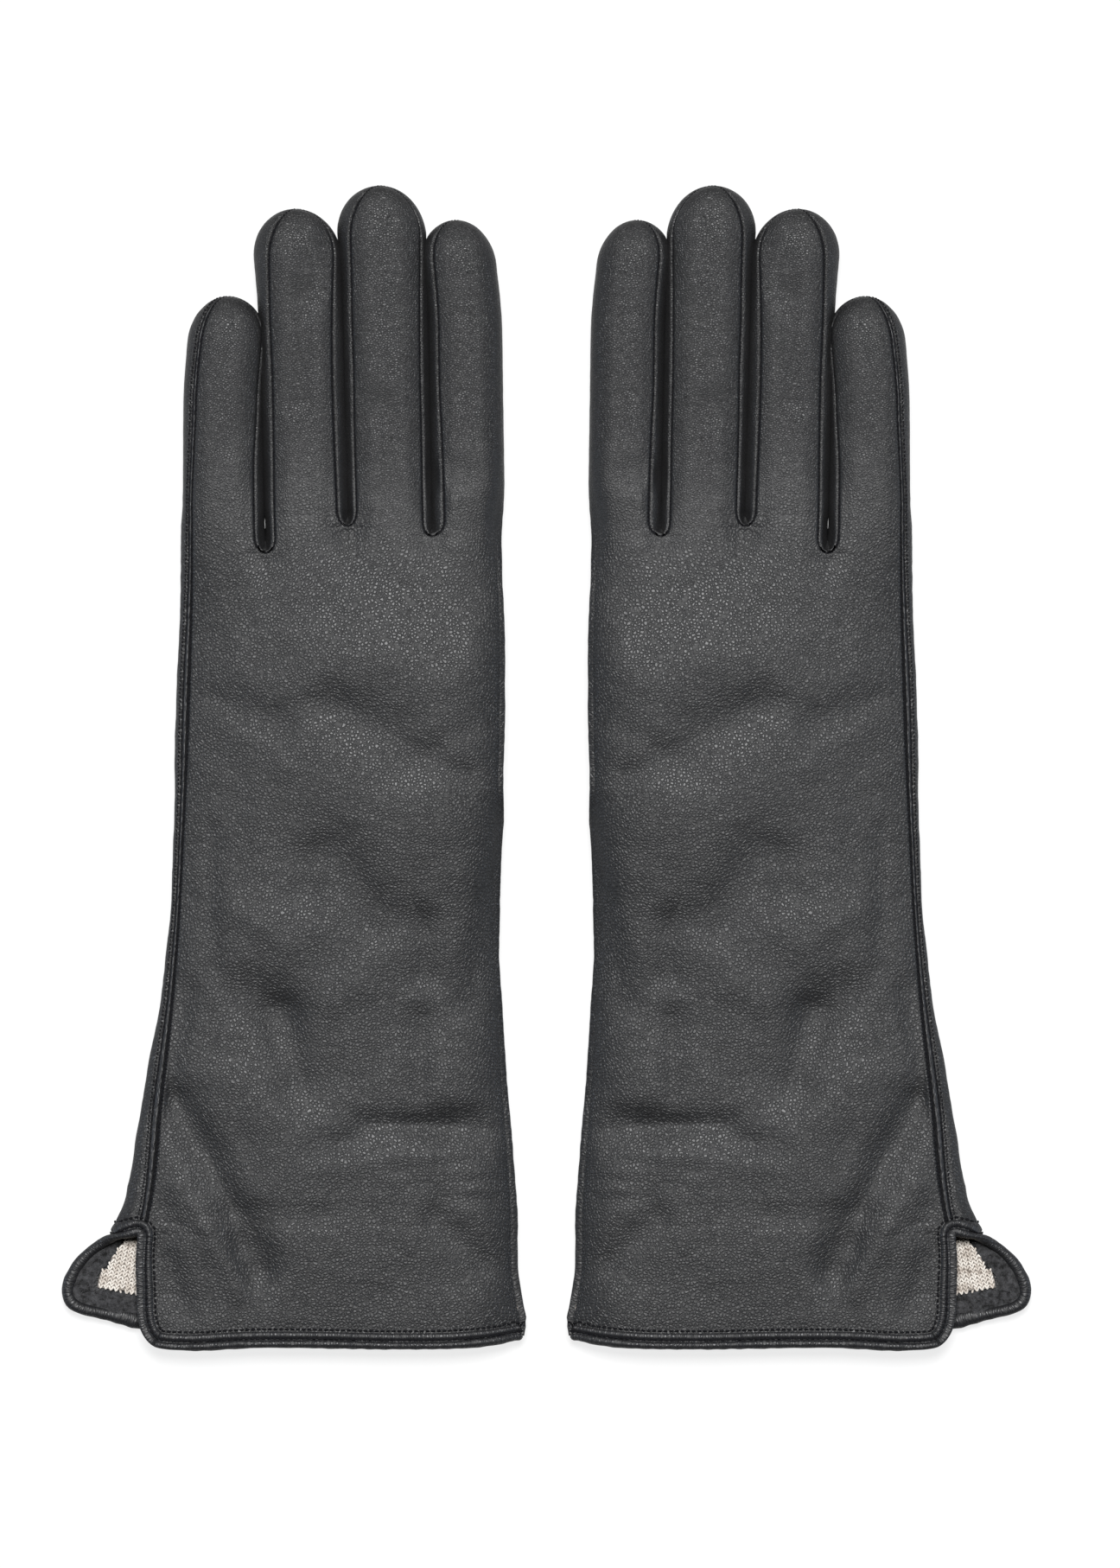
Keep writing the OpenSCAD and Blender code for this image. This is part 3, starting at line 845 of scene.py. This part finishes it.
def suede_material():
    """Black suede facing with a raised nap."""
    made = Shade("black_suede", Roughness=0.95, Specular_IOR_Level=0.3, Sheen_Weight=0.04)
    place = made.add("TexCoord").outputs["Object"]
    nap = made.noise(place, Scale=650.0, Detail=5.0, Roughness=0.8).outputs["Fac"]
    made.bump(nap, Strength=1.0, Distance=0.0009)
    # The colour follows the nap's height: darker between the tufts and lighter on their tops, painted
    # shade and light of the nap.
    made.tone(nap, [(0.38, (0.001, 0.001, 0.001)), (0.66, (0.05, 0.05, 0.053))])
    return made.material


def yarn_material(name, scale, stops, roughness):
    """A spun yarn, flecked or plain, with fine fibres."""
    made = Shade(name, Roughness=roughness, Specular_IOR_Level=0.06)
    place = made.add("TexCoord").outputs["Object"]
    made.tone(made.noise(place, Scale=scale, Detail=3.0, Roughness=0.7).outputs["Fac"], stops)
    fibre = made.noise(place, Scale=6000.0, Detail=3.0)
    made.bump(fibre.outputs["Fac"], Strength=0.7, Distance=0.0001)
    return made.material


LEATHER = leather_material("black_nappa", (0.008, 0.008, 0.0085), 0.45, 1.15, 0.85)
SMOOTH = leather_material("black_binding", (0.006, 0.006, 0.007), 0.42, 1.0, 0.8, (1.5, 0.3, 1), False)
KNIT = knit_material()
SUEDE = suede_material()
WOOL = yarn_material("flecked_yarn", 450.0, [
    (0.28, (0.10, 0.08, 0.065)), (0.40, (0.38, 0.34, 0.30)), (0.60, (0.50, 0.47, 0.43))], 0.9)
# Black thread, drawn both as stitches and as the dark cords of painted shade in the seams' and the cuff's
# crevices.
THREAD_AND_SHADE = yarn_material("black_thread_and_shade", 1400.0, [
    (0.4, (0.003, 0.003, 0.004)), (0.6, (0.008, 0.008, 0.009))], 0.8)


# ---------------------------------------------------------------- building one glove
WELT_FROM = VENT_Y - 4
SLEEVE_ROWS = row_set([HEM_Y + 0.4, VENT_Y - 12, WELT_FROM, SPLIT_V], 1.25, near=(WELT_FROM, SPLIT_V))
FINGER_ROWS = {}
for _name, _finger in HAND.items():
    _rows = [row_set([SPLIT_V, 80.0], 1.0, near=(SPLIT_V,)), tip_rows(_finger, 80.0, 1.15)]
    FINGER_ROWS[_name] = np.unique(np.round(np.concatenate(_rows), 3))


def split_tags(name, rows, kind=""):
    """The tag of each row of a finger: below its middle crease, or above."""
    return [f"{name}_{'lower' if v < HAND[name].cut_y else 'upper'}{kind}" for v in rows]


def welt_points(rows):
    points = side_strip(rows, 5, 0, 1)
    edge = panel_points(rows, "little", False, np.array([1.0]))
    return points + (edge - points[:, :1]) * np.linspace(1, 0, 5)[None, :, None]


def glove_net():
    """All the outer leather of one glove as a single net, with a tag for each piece."""
    net = Net()
    grid = sleeve_grid(SLEEVE_ROWS)
    fold = sum(len(COLUMNS[n]) for n in FINGERS) + len(TURN) // 2
    sleeve_uv = arc_uv(grid, fold)
    net.grid(grid, sleeve_uv, ["sleeve"] * len(SLEEVE_ROWS))
    for name, rows in FINGER_ROWS.items():
        for part in finger_grids(name, rows):
            near = np.linalg.norm(grid[-1][None] - part[0][:, None], axis=2).argmin(1)
            middle = part.shape[1] // 2
            uv = arc_uv(part, middle)
            uv[..., 0] += sleeve_uv[-1, near[middle], 0]
            net.grid(part, uv, split_tags(name, rows))
        for outer in (False, True):
            if HAND[name].slit[outer] is not None:
                part = gusset_grid(name, outer, rows)
                uv = arc_uv(part, 0) + np.array([300 + 20 * FINGERS.index(name), 0])
                net.grid(part, uv, split_tags(name, rows, "_gusset"), flip=outer)
    for rows, tags in ((SLEEVE_ROWS[SLEEVE_ROWS >= WELT_FROM], None), (FINGER_ROWS["little"], "little")):
        part = welt_points(rows)
        tags = split_tags(tags, rows, "_welt") if tags else ["sleeve_welt"] * len(rows)
        net.grid(part, arc_uv(part, 0) + np.array([400, 0]), tags, flip=True)
    return net.weld(), grid


def along(line):
    return np.concatenate([[0], np.cumsum(np.linalg.norm(np.diff(line, axis=0), axis=1))])


def at_run(at, run, values):
    """Values on a line, read off at distances along it."""
    return np.stack([np.interp(at, run, values[:, i]) for i in range(3)], -1)


def resample(line, step):
    run = along(line)
    return at_run(np.linspace(0, run[-1], max(2, round(run[-1] / step) + 1)), run, line)


def closed(ring):
    return np.concatenate([ring, ring[:1]])


def soften(ring, width):
    """Averages a closed run of values over its neighbours."""
    for _ in range(2):
        ring = sum(np.roll(ring, k, 0) for k in range(-width, width + 1)) / (2 * width + 1)
    return ring


def unit(v):
    return v / np.maximum(np.linalg.norm(v, axis=-1, keepdims=True), 1e-9)


net, sleeve = glove_net()
in_vent = SLEEVE_ROWS <= WELT_FROM
seams = {(n, outer, palm): seam_line(n, outer, palm) for n in FINGERS for outer in (False, True)
         for palm in (False, True) if HAND[n].slit[outer] is not None}
side_back = np.concatenate([panel_points(r, "little", False, np.array([1.0]))[:, 0]
                            for r in (SLEEVE_ROWS, FINGER_ROWS["little"])])
side_front = np.concatenate([side_strip(r, 2, 0, 1)[:, 1]
                             for r in (SLEEVE_ROWS[~in_vent], FINGER_ROWS["little"])])
loop = np.concatenate([sleeve[in_vent, 0], welt_points(SLEEVE_ROWS[SLEEVE_ROWS >= WELT_FROM])[0],
                       sleeve[in_vent, -1][::-1], sleeve[0, ::-1]])
loop = resample(closed(loop), 0.9)[:-1]
loop = soften(loop, 2)
all_seams = np.concatenate([resample(a, 0.15) for a in list(seams.values()) + [side_back, side_front]])

# Half widths of the binding on the back's edge, the flap's side and the palm's hem
BACK_ROLL, FLAP_ROLL, PALM_ROLL = 1.2, 1.7, 2.2
FOLD_W = 1.8  # width of the flat fold beside it
ROW_INSET = FOLD_W + 0.6  # the row of topstitching's distance from the binding
on_palm = loop[:, 2] < 4.0
roll_w = soften(np.where(on_palm, np.where(loop[:, 1] < HEM_Y + 8, PALM_ROLL, FLAP_ROLL), BACK_ROLL), 3)


def surface_of(points, faces):
    return BVHTree.FromPolygons(points.tolist(), np.asarray(faces).tolist())


def on_surface(tree, points):
    found = [tree.find_nearest(q) for q in points.reshape(-1, 3).tolist()]
    return (np.array([f[0] for f in found]).reshape(points.shape),
            np.array([f[1] for f in found]).reshape(points.shape))


nominal = surface_of(net.p, net.f)


def outward():
    """Directions away from the leather at its edge."""
    n = unit(soften(on_surface(nominal, loop)[1], 3))
    run = np.roll(loop, -1, 0) - np.roll(loop, 1, 0)
    return unit(np.cross(unit(run), n))


loop_out = outward()
topstitch = on_surface(nominal, loop - loop_out * (roll_w + ROW_INSET)[:, None])[0]
net = roll_in(net, all_seams, topstitch)
finished = surface_of(net.p, net.f)
edge_tree = tree_of(resample(closed(loop), 0.4))


def knit_start(p):
    """The distance from the cuff's edge at which the knitted lining begins."""
    return 4.1 + 1.3 * (1 - ramp(p[:, 1], -141, -131))


def lining_depth(away):
    """How far the lining lies inside the leather's outer face. It dips under the cuff's facing."""
    return LEATHER_T + 0.1 + 0.8 * (1 - ramp(away, 4.5, 8))


def lining_net():
    """Every second row and column of the leather, just inside it."""
    inner = Net()
    for points, uv, tags, flip in net.parts:
        rows = sorted({*range(0, len(points), 2), len(points) - 1,
                       *[i for i in range(1, len(tags)) if tags[i] != tags[i - 1]]})
        cols = sorted({*range(0, points.shape[1], 2), points.shape[1] - 1})
        keep = np.ix_(rows, cols)
        plain = [tags[i].removesuffix("_gusset").removesuffix("_welt") for i in rows]
        inner.grid(points[keep], uv[keep], plain, flip)
    inner.weld()
    index = np.array([net.tree.find(q)[1] for q in inner.p])
    inner.n = net.n[index]
    inner.away = reach(edge_tree, inner.p)
    inner.p = net.p[index] - inner.n * lining_depth(inner.away)[:, None]
    inside = inner.away > knit_start(inner.p) + 0.3
    for x, y in CROTCHES:
        web_y = np.clip(inner.p[:, 1], y, y + PALM_SLIT_UP)
        inside &= np.hypot(inner.p[:, 0] - x, inner.p[:, 1] - web_y) > 4.5
    x, y = inner.p[:, 0], inner.p[:, 1]
    inside &= (x < 113) | (y < -127) | (y > WELT_FROM + 1)
    keep = inside[inner.f].all(1)
    inner.f, inner.tag = inner.f[keep], inner.tag[keep]
    return inner


inner = lining_net()


def face_along(sheet, away):
    """Turns a sheet's faces over if its normals go against the given directions."""
    if (sheet.n * away).sum() < 0:
        sheet.f, sheet.n = sheet.f[:, ::-1], -sheet.n
    return sheet


def sheet_of(grid, uv, thickness, away_from):
    """A closed sheet from a grid of points, with its face turned away from a surface."""
    strip = Net()
    strip.grid(grid, uv, ["strip"] * len(grid))
    strip.weld()
    face_along(strip, away_from(strip.p))
    return solid(strip.p, strip.f, strip.n, strip.t, thickness)


def edge_ribbon(steps, heights, thickness, inside=False):
    """A ribbon that follows the cuff's edge. Steps are distances from the edge."""
    base = loop[:, None] - loop_out[:, None] * steps[..., None]
    p, n = on_surface(finished, base)
    n = unit(soften(n, 1))
    sign = -1 if inside else 1
    grid = closed(p + sign * n * heights[..., None])
    uv = np.stack(np.broadcast_arrays(along(grid[:, 0])[:, None], closed(steps)), -1)
    return sheet_of(grid, uv, thickness, lambda q: sign * on_surface(finished, q)[1])


def binding():
    """The rolled binding: an oval section carried round the cuff's edge."""
    p, n = lift(net, loop)
    n = unit(soften(n, 2))
    run, zero = along(closed(loop)), np.zeros(len(loop))
    crumple = CREASE.at(run[:-1] / 2.1, zero) * 0.07 + BROAD.at(run[:-1] / 9, zero) * 0.06
    centre = soften(p - n * LEATHER_T * 0.5, 1) + loop_out * 0.2
    angle = np.arange(14) * 2 * math.pi / 14
    wave = 1 + crumple[:, None] * (1 + 0.6 * np.cos(angle * 2 + 1)[None])
    wide, high = roll_w[:, None] * wave, np.minimum(1.4, roll_w + 0.1)[:, None] * wave
    grid = closed(centre[:, None] + loop_out[:, None] * (wide * np.cos(angle))[..., None]
                  + n[:, None] * (high * np.sin(angle))[..., None])
    grid = np.concatenate([grid, grid[:, :1]], 1)
    uv = np.stack(np.broadcast_arrays(run[:, None], np.linspace(0, 10, 15)[None]), -1)
    tube = Net()
    tube.grid(grid, uv, ["tube"] * len(grid))
    tube.weld()
    nearest = np.clip(tube.t[:, 0] / run[-1] * len(loop), 0, len(loop) - 1).astype(int)
    return face_along(tube, tube.p - centre[nearest])


def stitches(line, n, pitch, length, radius, lean=0.0):
    """Stitches laid end to end along a line on the leather."""
    run = along(line)
    at = np.arange(pitch / 2, run[-1], pitch)
    where, up = at_run(at, run, line), at_run(at, run, n)
    way = unit(at_run(at + 0.3, run, line) - where)
    way = unit(way + lean * unit(np.cross(way, up)))
    return capsules(where, way, unit(up), length, radius)


def merged(parts):
    points, faces, count = [], [], 0
    for p, f in parts:
        points.append(p)
        faces.append(f + count)
        count += len(p)
    return np.concatenate(points), np.concatenate(faces)


# Pitch, length and radius of the stitches, and how far they lean
SEAM_STITCH = (1.05, 0.72, 0.18, 0.25)
CUFF_STITCH = (1.5, 1.1, 0.3)
THUMB_STITCH = (1.35, 0.95, 0.2, 0.25)
# Unbroken dark cords laid down in the crevices, in the seams and between binding and fold: painted shade
# of the crevices, drawn in the thread's material
SEAM_SHADE_CORD, CUFF_SHADE_CORD = (0.8, 1.0, 0.25), (0.8, 1.0, 0.28)
BESIDE = 0.45  # distance of a row of stitches from its seam


def beside(line, shift):
    """A row beside a seam, on the rolled edge of the leather, and the normals there."""
    p, n = on_surface(finished, resample(line, 0.5) + np.array([shift, 0, 0]))
    return p + n * 0.07, n


def crevice_shade_cord(line):
    """A dark cord down in a seam's crevice: painted shade of the crevice."""
    p, n = on_surface(nominal, resample(line, 0.5))
    return stitches(p - n * 0.6, n, *SEAM_SHADE_CORD)


def stitches_and_crevice_shade():
    """Every row of stitches, with the dark cords of painted shade in the seams' crevices: the points of
    each by the piece that its seam is sewn to.
    """
    out = {}
    for (name, outer, palm), line in seams.items():
        line, n = beside(line[line[:, 1] > 0], -BESIDE if outer else BESIDE)
        cut = HAND[name].cut_y
        deep = seams[name, outer, palm]
        for level, chosen, part in (("lower", line[:, 1] < cut, deep[:, 1] < cut + 0.5),
                                    ("upper", line[:, 1] >= cut, deep[:, 1] >= cut)):
            out.setdefault(f"{name}_{level}", []).extend([
                stitches(line[chosen], n[chosen], *SEAM_STITCH), crevice_shade_cord(deep[part])])
    for side_line, shift in ((side_back, -BESIDE), (side_front, BESIDE)):
        line, n = beside(side_line[side_line[:, 1] > WELT_FROM], shift)
        cut = HAND["little"].cut_y
        for tag, low, high in (("sleeve", WELT_FROM, SPLIT_V), ("little_lower", SPLIT_V, cut),
                               ("little_upper", cut, math.inf)):
            chosen = (line[:, 1] > low) & (line[:, 1] <= high)
            deep = side_line[(side_line[:, 1] > low) & (side_line[:, 1] <= high + 0.5)]
            out.setdefault(tag, []).extend([
                stitches(line[chosen], n[chosen], *SEAM_STITCH), crevice_shade_cord(deep)])
    return {tag: merged(parts) for tag, parts in out.items()}


def cuff_stitches_and_crease_shade():
    """The two rows of stitches round the cuff, and a dark cord in the crease between its binding and fold,
    painted shade of that crease.
    """
    rows = []
    for inset, above, stitch in (
        (0.05, 0.4, CUFF_STITCH), (ROW_INSET, 0.12, CUFF_STITCH), (0.05, 0.12, CUFF_SHADE_CORD)):
        p, n = on_surface(finished, loop - loop_out * (roll_w + inset)[:, None])
        n = unit(soften(n, 2))
        rows.append(stitches(closed(p + n * above), closed(n), *stitch))
    return merged(rows)


# The knit in the vent: its middle, how far its rows are turned, the distance between its
# columns and rows of V stitches, and how far a stitch's arm reaches aside and up
KNIT_AT, KNIT_TURN = (112, -133), math.radians(12)
WALE, COURSE, ARM = 1.4, 1.03, (0.62, 1.15)
YARN_STITCH = (1.4, 0.3)  # length and radius


def knit_yarn():
    """The V stitches of the lining that show inside the vent."""
    down = np.array([math.sin(KNIT_TURN), -math.cos(KNIT_TURN)])
    across = np.array([math.cos(KNIT_TURN), math.sin(KNIT_TURN)])
    legs = []
    for i in range(-14, 15):
        for j in range(-16, 17):
            foot = np.array(KNIT_AT) + i * WALE * across + j * COURSE * down
            for sign in (-1, 1):
                arm = foot + sign * ARM[0] * across - ARM[1] * down
                legs.append((*((foot + arm) / 2), *(foot - arm)))
    legs = np.array(legs)
    jitter = np.random.default_rng(3).normal(0, 0.03, (len(legs), 2))
    query = np.concatenate([legs[:, :2] + jitter, np.full((len(legs), 1), 3.0)], 1)
    p, n = on_surface(finished, query)
    away = reach(edge_tree, p)
    keep = (n[:, 2] < -0.3) & (away > knit_start(p) + 0.5 * CREASE.at(query[:, 0], query[:, 1])) & (
        np.linalg.norm((p - query)[:, :2], axis=1) < 0.8)
    legs = legs[keep]
    sheet = surface_of(*solid(inner.p, inner.f, inner.n, inner.t, LINING_T)[:2])
    found = [sheet.ray_cast((x, y, z + 4), (0, 0, -1))[:2]
             for (x, y, _), z in zip(query[keep].tolist(), p[keep][:, 2])]
    legs = legs[np.array([hit is not None for hit, _ in found])]
    p = np.array([hit for hit, _ in found if hit is not None])
    n = -np.array([up if up[2] > 0 else -up for hit, up in found if hit is not None])
    p = p - n * 0.1
    way = np.concatenate([legs[:, 2:], np.zeros((len(legs), 1))], 1)
    return capsules(p, way, -n, *YARN_STITCH)


def thumb_net():
    """The thumb, folded flat under the palm, with the thickness of its leather and its
    stitches. It tapers to nothing where it leaves the palm."""
    root, tip = THUMB_LOW[1] - 3.6, THUMB_HIGH[1]
    root_h, tip_h = 12.5, 10.5  # half widths
    cap = 1.2 * tip_h
    body = np.linspace(root, tip - cap, 26)
    turn = (tip - cap) + cap * np.sin(np.linspace(0, math.pi / 2, 14))[1:]
    rows = np.concatenate([body, turn])[:, None]
    t = (rows - THUMB_LOW[1]) / (tip - THUMB_LOW[1])
    shrink = np.sqrt(1 - np.clip((rows - tip + cap) / cap, 0, 1) ** 2)
    angle = np.linspace(0, 2 * math.pi, 45)[None]
    c = mix(THUMB_LOW[0] + root_h, THUMB_HIGH[0] - tip_h, np.clip(t, -0.1, 1))
    x = c + mix(root_h, tip_h, t) * shrink * np.sign(np.cos(angle)) * np.abs(np.cos(angle)) ** 0.75
    y = rows + 0 * angle
    up = up_at(angle)
    top = np.minimum(THUMB_HIGH[2], np.maximum(under_z(x, y) - 0.15, 0.3))
    z = top / 2 * (1 + up * (0.25 + 0.75 * shrink))
    grid = np.stack([x, y, z], -1)
    thumb = Net()
    thumb.grid(grid, arc_uv(grid, 0) + np.array([500, 0]), ["thumb"] * len(rows))
    thumb.weld()
    seam = resample(grid[:, 0], 0.15)
    away = reach(tree_of(seam), thumb.p)
    drop = 0.6 * (1 - np.sqrt(1 - (1 - np.clip(away / 0.9, 0, 1)) ** 2))
    face_along(thumb, (thumb.p - [0, 0, THUMB_HIGH[2] / 2]) * [0, 0, 1])
    soft = 0.18 * BROAD.at(thumb.p[:, 0] / 6, thumb.p[:, 1] / 7)
    quiet = ramp(thumb.p[:, 1], root + 2, root + 9)
    thumb.start = thumb.p
    thumb.p = thumb.p - thumb.n * ((drop + 0.15 + soft) * quiet)[:, None]
    thumb.p[:, 2] = np.maximum(thumb.p[:, 2], 0.02)
    thumb.n = normals(thumb.p, thumb.f)
    thumb.tree = tree_of(thumb.start)
    room = np.minimum(THUMB_HIGH[2], under_z(*thumb.p.T[:2]))
    local = np.maximum(0.1, np.minimum(LEATHER_T * 0.8, 0.3 * room))
    line, n = lift(thumb, resample(grid[3:-2, 0], 0.5), 0.1)
    return thumb, local, stitches(line, n, *THUMB_STITCH)


# For each piece: the two bodies between which its bend would run, and the y at which that bend starts and
# ends. Only the tags are read here; no piece is bent.
BENDS = {"sleeve": ("gauntlet", "hand", WRIST_Y - 18, WRIST_Y + 18)}
for _name, _finger in HAND.items():
    _middle = _finger.middle_y
    BENDS[f"{_name}_lower"] = ("hand", f"{_name}_base", KNUCKLE_Y - 5, KNUCKLE_Y + 7)
    BENDS[f"{_name}_upper"] = (f"{_name}_base", f"{_name}_tip", _middle - 7, _middle + 7)
BENDS["thumb"] = ("hand", "thumb", THUMB_LOW[1] - 4, THUMB_LOW[1] + 3)


def blend_y(obj):
    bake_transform(obj)


def place(obj, tag, side, slot, nodes):
    """Parents a cuff piece to the gauntlet's body, bakes the transform of any other piece, and hides the
    CAD parts that it stands for.
    """
    if tag == "cuff":
        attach(obj, f"{side}_gauntlet")
    else:
        blend_y(obj)
    if nodes:
        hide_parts(*[f"{side}_{n}" for n in nodes])


STITCHES_AND_CREVICE_SHADE = stitches_and_crevice_shade()
CUFF_STITCHES_AND_CREASE_SHADE = cuff_stitches_and_crease_shade()
YARN = knit_yarn()
BINDING = binding()
THUMB, THUMB_T, THUMB_THREAD = thumb_net()
shape = np.ones((len(loop), 1))
fold_at = np.array([-0.3, 0.0, 0.12, 0.35, 0.65, 0.88, 1.0])[None]
fold_high = 0.12 + 0.55 * np.sin(np.clip(fold_at, 0.02, 0.98) * math.pi) ** 0.6 * shape
FOLD = edge_ribbon(roll_w[:, None] * shape + FOLD_W * fold_at, fold_high, 0.5)
facing_end = knit_start(loop) + 1.6 + 0.35 * CREASE.at(np.arange(len(loop)) / 1.7, np.zeros(len(loop)))
facing_at = np.array([0.05, 0.2, 0.4, 0.6, 0.8, 1.0])[None]
nap = 0.12 * FINE.at(np.arange(len(loop))[:, None] / 1.3, facing_at * 9)
FACING = edge_ribbon(facing_end[:, None] * facing_at, LEATHER_T + 0.62 + nap, 0.55, inside=True)


def part_nodes(tag, kind):
    """The CAD nodes that a piece stands for."""
    if tag == "sleeve":
        return [f"hand_{kind}", f"gauntlet_{kind}"]
    finger, level = tag.split("_")[:2]
    part = {"lower": "base", "upper": "tip"}[level]
    if kind == "gussets":
        return [f"{finger}_base_gussets"] if level == "lower" else []
    return [] if kind == "welt" else [f"{finger}_{part}_{kind}"]


def tagged(sheet, tag, thickness):
    """The part of a sheet that has a tag, made solid."""
    return solid(sheet.p, sheet.f[sheet.tag == tag], sheet.n, sheet.t, thickness)


def piece(side, name, tag, material, parts, slot, nodes=()):
    """Makes one piece from its points and faces, with their normals and texture coordinates
    where it has them."""
    points, faces, n, uv = parts if len(parts) == 4 else (*parts, None, None)
    place(make_mesh(f"{side}_{name}", points, faces, material, uv, n, side), tag, side, slot, nodes)


def build_glove(side):
    for tag in [t for t in BENDS if t != "thumb"]:
        piece(side, f"{tag}_skin", tag, LEATHER, tagged(net, tag, LEATHER_T), "leather",
              part_nodes(tag, "leather"))
        for kind, label, material in (("gusset", "gussets", LEATHER), ("welt", "welt", SMOOTH)):
            if f"{tag}_{kind}" in net.tag:
                piece(side, f"{tag}_{label}", tag, material, tagged(net, f"{tag}_{kind}", TRIM_T), "trim",
                      part_nodes(tag, label))
        piece(side, f"{tag}_lining", tag, KNIT, tagged(inner, tag, LINING_T), "knit",
              part_nodes(tag, "lining"))
        # Each thread piece holds the seam's stitches and the dark cords of painted shade in its crevices.
        if tag in STITCHES_AND_CREVICE_SHADE:
            piece(side, f"{tag}_thread", tag, THREAD_AND_SHADE, STITCHES_AND_CREVICE_SHADE[tag], "trim")
    roll = (BINDING.p, BINDING.f, BINDING.n, BINDING.t)
    piece(side, "cuff_roll", "cuff", SMOOTH, roll, "trim", ["cuff_binding"])
    piece(side, "cuff_fold", "cuff", SMOOTH, FOLD, "trim")
    piece(side, "suede_facing", "cuff", SUEDE, FACING, "facing", ["cuff_facing"])
    # The cuff's stitches together with the dark cord of painted shade in the crease between binding and
    # fold.
    piece(side, "cuff_stitches_and_crease_shade", "cuff", THREAD_AND_SHADE, CUFF_STITCHES_AND_CREASE_SHADE, "trim")
    piece(side, "knit_stitches", "cuff", WOOL, YARN, "knit")
    pouch = solid(THUMB.p, THUMB.f, THUMB.n, THUMB.t, THUMB_T)
    piece(side, "thumb_skin", "thumb", LEATHER, pouch, "leather", ["thumb_leather"])
    lined = THUMB.f[(THUMB.p[:, 1] > THUMB_LOW[1] + 1)[THUMB.f].all(1)]
    lining = solid(THUMB.p - THUMB.n * THUMB_T[:, None], lined, THUMB.n, THUMB.t, THUMB_T)
    piece(side, "thumb_lining", "thumb", KNIT, lining, "knit", ["thumb_lining"])
    piece(side, "thumb_thread", "thumb", THREAD_AND_SHADE, THUMB_THREAD, "trim")


for _side in ("right", "left"):
    build_glove(_side)


# ---------------------------------------------------------------- floor, light and camera
def stage_plane(name, size, z):
    mesh = bpy.data.meshes.new(name)
    s = size / 2
    mesh.from_pydata([(-s, -s, z), (s, -s, z), (s, s, z), (-s, s, z)], [], [(0, 1, 2, 3)])
    pale = Shade("pale_floor", Base_Color=(0.12, 0.12, 0.12, 1), Emission_Color=(1, 1, 1, 1),
                 Emission_Strength=0.8, Roughness=0.9, Specular_IOR_Level=0.0)
    mesh.materials.append(pale.material)
    obj = bpy.data.objects.new(name, mesh)
    bpy.context.scene.collection.objects.link(obj)


def soft_light(name, size, power, place, colour=(1, 1, 1)):
    light = bpy.data.lights.new(name, "AREA")
    light.color = colour
    light.shape = "SQUARE"
    light.size = size
    light.energy = power
    obj = bpy.data.objects.new(name, light)
    obj.location = place
    obj.rotation_euler = (Vector() - Vector(place)).to_track_quat("-Z", "Y").to_euler()
    bpy.context.scene.collection.objects.link(obj)


stage_plane("floor", 6.0, -0.0002)
soft_light("softbox_top", 1.7, 590, (0.0, 1.6, 5.0))
for _name, _x in (("strip_right", 1.3), ("strip_left", -1.3)):
    soft_light(_name, 0.5, 5, (_x, 0.0, 0.32), (0.72, 0.84, 1.0))
world = bpy.data.worlds.new("studio")
world.use_nodes = True
world.node_tree.nodes["Background"].inputs[0].default_value = (1, 1, 1, 1)
world.node_tree.nodes["Background"].inputs[1].default_value = 0.05
bpy.context.scene.world = world

CAMERA_H = 5.0
VIEW_H = 418.0 * MM  # height of the frame at the gloves
camera = bpy.data.cameras.new("camera")
camera.sensor_fit = "VERTICAL"
camera.sensor_height = 36
camera.lens = camera.sensor_height * (CAMERA_H - 0.006) / VIEW_H
camera_object = bpy.data.objects.new("camera", camera)
camera_object.location = (3.6 * MM, -4.5 * MM, CAMERA_H)
bpy.context.scene.collection.objects.link(camera_object)
bpy.context.scene.camera = camera_object
bpy.context.scene.view_settings.view_transform = "Standard"
